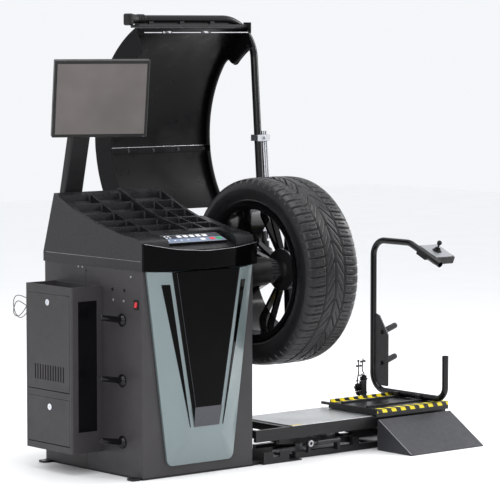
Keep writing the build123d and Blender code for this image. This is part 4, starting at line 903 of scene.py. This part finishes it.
def build_deck_details():
    """Hazard tape, rear fence, dark sheet and the bar that sticks out behind at the deck's left."""
    x0, x1 = deck_low.x + 0.004, deck_high.x - 0.004
    front, rear = deck_low.y, deck_high.y
    boxes("hazard_front", [((x0, front + 0.002, DECK_TOP), (x1, front + 0.026, DECK_TOP + 0.0009)),
                           ((x0, front - 0.0009, DECK_TOP - 0.016), (x1, front + 0.0002, DECK_TOP - 0.0015))],
          "hazard", "carriage", 0.0002)
    boxes("rear_fence", [((x0, -0.0470, DECK_TOP), (x1, -0.0445, DECK_TOP + 0.013))], "black", "carriage", 0.0008)
    boxes("hazard_rear", [((x0, -0.066, DECK_TOP), (x1, -0.0480, DECK_TOP + 0.0009)),
                          ((x0 + 0.002, -0.0478, DECK_TOP + 0.0012), (x1 - 0.002, -0.0470, DECK_TOP + 0.0125))],
          "hazard", "carriage", 0.0002)
    boxes("deck_sheet", [((x0 + 0.004, front + 0.030, DECK_TOP - 0.0004),
                          (x1 - 0.004, -0.069, DECK_TOP + 0.0012))], "sheet", "carriage", 0.0005)
    boxes("deck_bar", [((deck_low.x + 0.0005, rear - 0.030, DECK_TOP - 0.013),
                        (deck_low.x + 0.0120, rear + 0.050, DECK_TOP - 0.001))],
          "black", "carriage", 0.001)


def build_lift_details():
    """Tape on the platform, a zinc wire along the ramp's edge that paints its highlight, and the short damper near
    the floor.
    """
    cover_min, cover_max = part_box("platform_cover")
    boxes("cover_tape", [((cover_min.x + 0.003, cover_min.y + 0.004, cover_max.z),
                          (cover_min.x + 0.060, cover_min.y + 0.020, cover_max.z + 0.0006))],
          "yellow", "platform", 0.0001)
    ramp_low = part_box("ramp")[0]
    # painted highlight: a bright zinc wire down the ramp's sloping edge stands for the catch-light on that edge
    slope = [(ramp_low.x + 0.0008, -0.562 + 0.199 * t, 0.0065 + 0.1225 * t) for t in (0.0, 0.33, 0.67, 1.0)]
    wire("ramp_highlight_edge", [slope], 0.0012, "zinc", "machine")
    y, z = -0.3215, 0.060
    turned("damper_eye", (0.606, y - 0.005, z), (0, 1, 0),
           [(0, 0.0065), (0, 0.0145), (0.010, 0.0145), (0.010, 0.0065), (0, 0.0065)], "zinc", "machine", 40)
    turned("damper_tube", (0.620, y, z), (1, 0, 0),
           [(0, 0), (0, 0.0060), (0.020, 0.0060), (0.021, 0.0098), (0.142, 0.0098), (0.144, 0.0070),
            (0.150, 0.0070), (0.150, 0)], "blackened", "machine", 40)
    boxes("damper_lugs", [((0.598, -0.3165, 0.020), (0.614, -0.3015, 0.068)),
                          ((0.752, -0.328, 0.020), (0.766, -0.3015, 0.072))], "black", "machine", 0.001)


def build_air_unit():
    """Air service unit in place of its plain block: bracket, two bowls, pipes with cross taps."""
    low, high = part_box("air_unit")
    boxes("air_bracket", [((1.150, low.y, 0.149), (1.180, low.y + 0.004, 0.250)),
                          ((1.143, low.y + 0.002, 0.192), (1.187, low.y + 0.020, 0.198))],
          "moulded", "carriage", 0.001, "air_unit")
    bowl = [(0, 0), (0, 0.004), (0.003, 0.010), (0.009, 0.0145), (0.018, 0.0155), (0.036, 0.0155),
            (0.037, 0.0172), (0.044, 0.0172), (0.045, 0.0120), (0.054, 0.0110), (0.056, 0)]
    band = [(0, 0.0158), (0, 0.0176), (0.004, 0.0176), (0.004, 0.0158), (0, 0.0158)]
    y = low.y + 0.022
    turned("air_bowl_low", (1.157, y, 0.181), (-0.25, 0, 1), bowl, "rim", "carriage", 48)
    turned("air_bowl_high", (1.176, y + 0.006, 0.216), (0.30, 0, 1), bowl, "rim", "carriage", 48)
    turned("air_band_low", (1.1515, y, 0.203), (-0.25, 0, 1), band, "chrome", "carriage", 48)
    turned("air_band_high", (1.1825, y + 0.006, 0.238), (0.30, 0, 1), band, "chrome", "carriage", 48)
    top = high.z - 0.002
    left_pipe = [(1.146, 0.232), (1.142, 0.250), (1.152, 0.272), (1.153, 0.300), (1.150, top - 0.010)]
    right_pipe = [(1.184, 0.280), (1.170, 0.286), (1.174, 0.310), (1.178, top)]
    left_cross = [(1.142, 0.312), (1.150, 0.312), (1.158, 0.311), (1.166, 0.312)]
    right_cross = [(1.166, 0.330), (1.172, 0.330), (1.180, 0.331), (1.188, 0.331)]
    link = [(1.152, 0.272), (1.160, 0.268), (1.168, 0.270), (1.174, 0.276)]
    routes = [[(x, y, z) for x, z in route] for route in (left_pipe, right_pipe, left_cross, right_cross, link)]
    routes[1].insert(0, (1.190, y + 0.006, 0.266))
    wire("air_pipes", routes, 0.0026, "moulded", "carriage")
    tap = [(0, 0), (0, 0.0046), (0.007, 0.0046), (0.008, 0.0030), (0.008, 0)]
    for i, (x, z, way) in enumerate(((1.139, 0.312, (1, 0, 0)), (1.167, 0.312, (-1, 0, 0)),
                                     (1.163, 0.330, (1, 0, 0)), (1.190, 0.331, (-1, 0, 0)),
                                     (1.150, top - 0.012, (0, 0, 1)), (1.141, 0.246, (1, 0, 0.4)))):
        turned(f"air_tap_{i + 1}", (x, y, z), way, tap, "moulded", "carriage", 24)


def build_control_details():
    """Plate and screws of the control box, and the joystick's rubber boot with its ring."""
    c = CONTROL_FRAME
    origin = c.translation
    normal = c.to_3x3() @ Vector((0, 0, 1))
    local_boxes("control_plate", c, [((-0.0525, -0.0555, 0.0), (0.0525, 0.0555, 0.0007))],
                "aluminium", "carriage", 0.0003)
    ring = [(0, 0.012), (0, 0.021), (0.0015, 0.0215), (0.0025, 0.0205), (0.0025, 0.0165)]
    turned("boot_ring", origin, normal, ring, "moulded", "carriage", 64)
    last = 14
    folds = [(0.002 + 0.012 * (i / last), 0.0175 - 0.0065 * (i / last) + 0.0010 * math.cos(i * math.pi))
             for i in range(last + 1)]
    turned("joystick_boot", origin, normal, folds, "rubber", "carriage", 64)
    screws = [(c @ Vector((x, y, 0)), normal) for x in (-0.050, 0.050) for y in (-0.053, 0.053)]
    bolts("control_screws", screws, "zinc", "carriage", 0.006, 0.002)


build_deck_details()
build_lift_details()
build_air_unit()
build_control_details()


# ---- camera, floor and light --------------------------------------------------------
def build_camera():
    """Long lens from the left front, looking slightly down."""
    data = bpy.data.cameras.new("camera")
    data.sensor_width = 36
    data.lens = 194.43
    data.clip_end = 60
    camera = bpy.data.objects.new("camera", data)
    camera.location = (-6.763, -8.730, 1.8006)
    camera.rotation_euler = (math.pi / 2 - 0.083, 0, -0.697)
    bpy.context.scene.collection.objects.link(camera)
    bpy.context.scene.camera = camera


def build_floor():
    """Pale floor, half a millimetre below zero."""
    bm = bmesh.new()
    bmesh.ops.create_grid(bm, x_segments=2, y_segments=2, size=14)
    floor = bpy.data.objects.new("floor", from_bmesh("floor", bm))
    floor.data.materials.append(floor_finish("pale_floor"))
    floor.location.z = -0.0005
    bpy.context.scene.collection.objects.link(floor)


def area_light(name, spot, target, size, power):
    data = bpy.data.lights.new(name, "AREA")
    data.shape = "RECTANGLE"
    data.size, data.size_y = size
    data.energy = power
    light = bpy.data.objects.new(name, data)
    light.location = spot
    light.rotation_euler = (Vector(target) - Vector(spot)).to_track_quat("-Z", "Y").to_euler()
    bpy.context.scene.collection.objects.link(light)


def build_light():
    """Even, bright surroundings and three soft lamps."""
    world = bpy.data.worlds.new("studio")
    world.use_nodes = True
    background = world.node_tree.nodes["Background"]
    background.inputs["Color"].default_value = (0.96, 0.975, 1.0, 1)
    background.inputs["Strength"].default_value = 0.95
    bpy.context.scene.world = world
    area_light("overhead", (0.3, -0.6, 5.0), (0.3, 0, 0.8), (4.5, 3.5), 150)
    area_light("front_left", (-3.6, -3.4, 3.0), (0.2, 0, 0.9), (2.4, 2.4), 70)
    area_light("right_edge", (4.2, -1.2, 2.4), (0.6, 0, 0.8), (1.2, 3.0), 110)


build_camera()
build_floor()
build_light()
bpy.context.scene.view_settings.view_transform = "Standard"
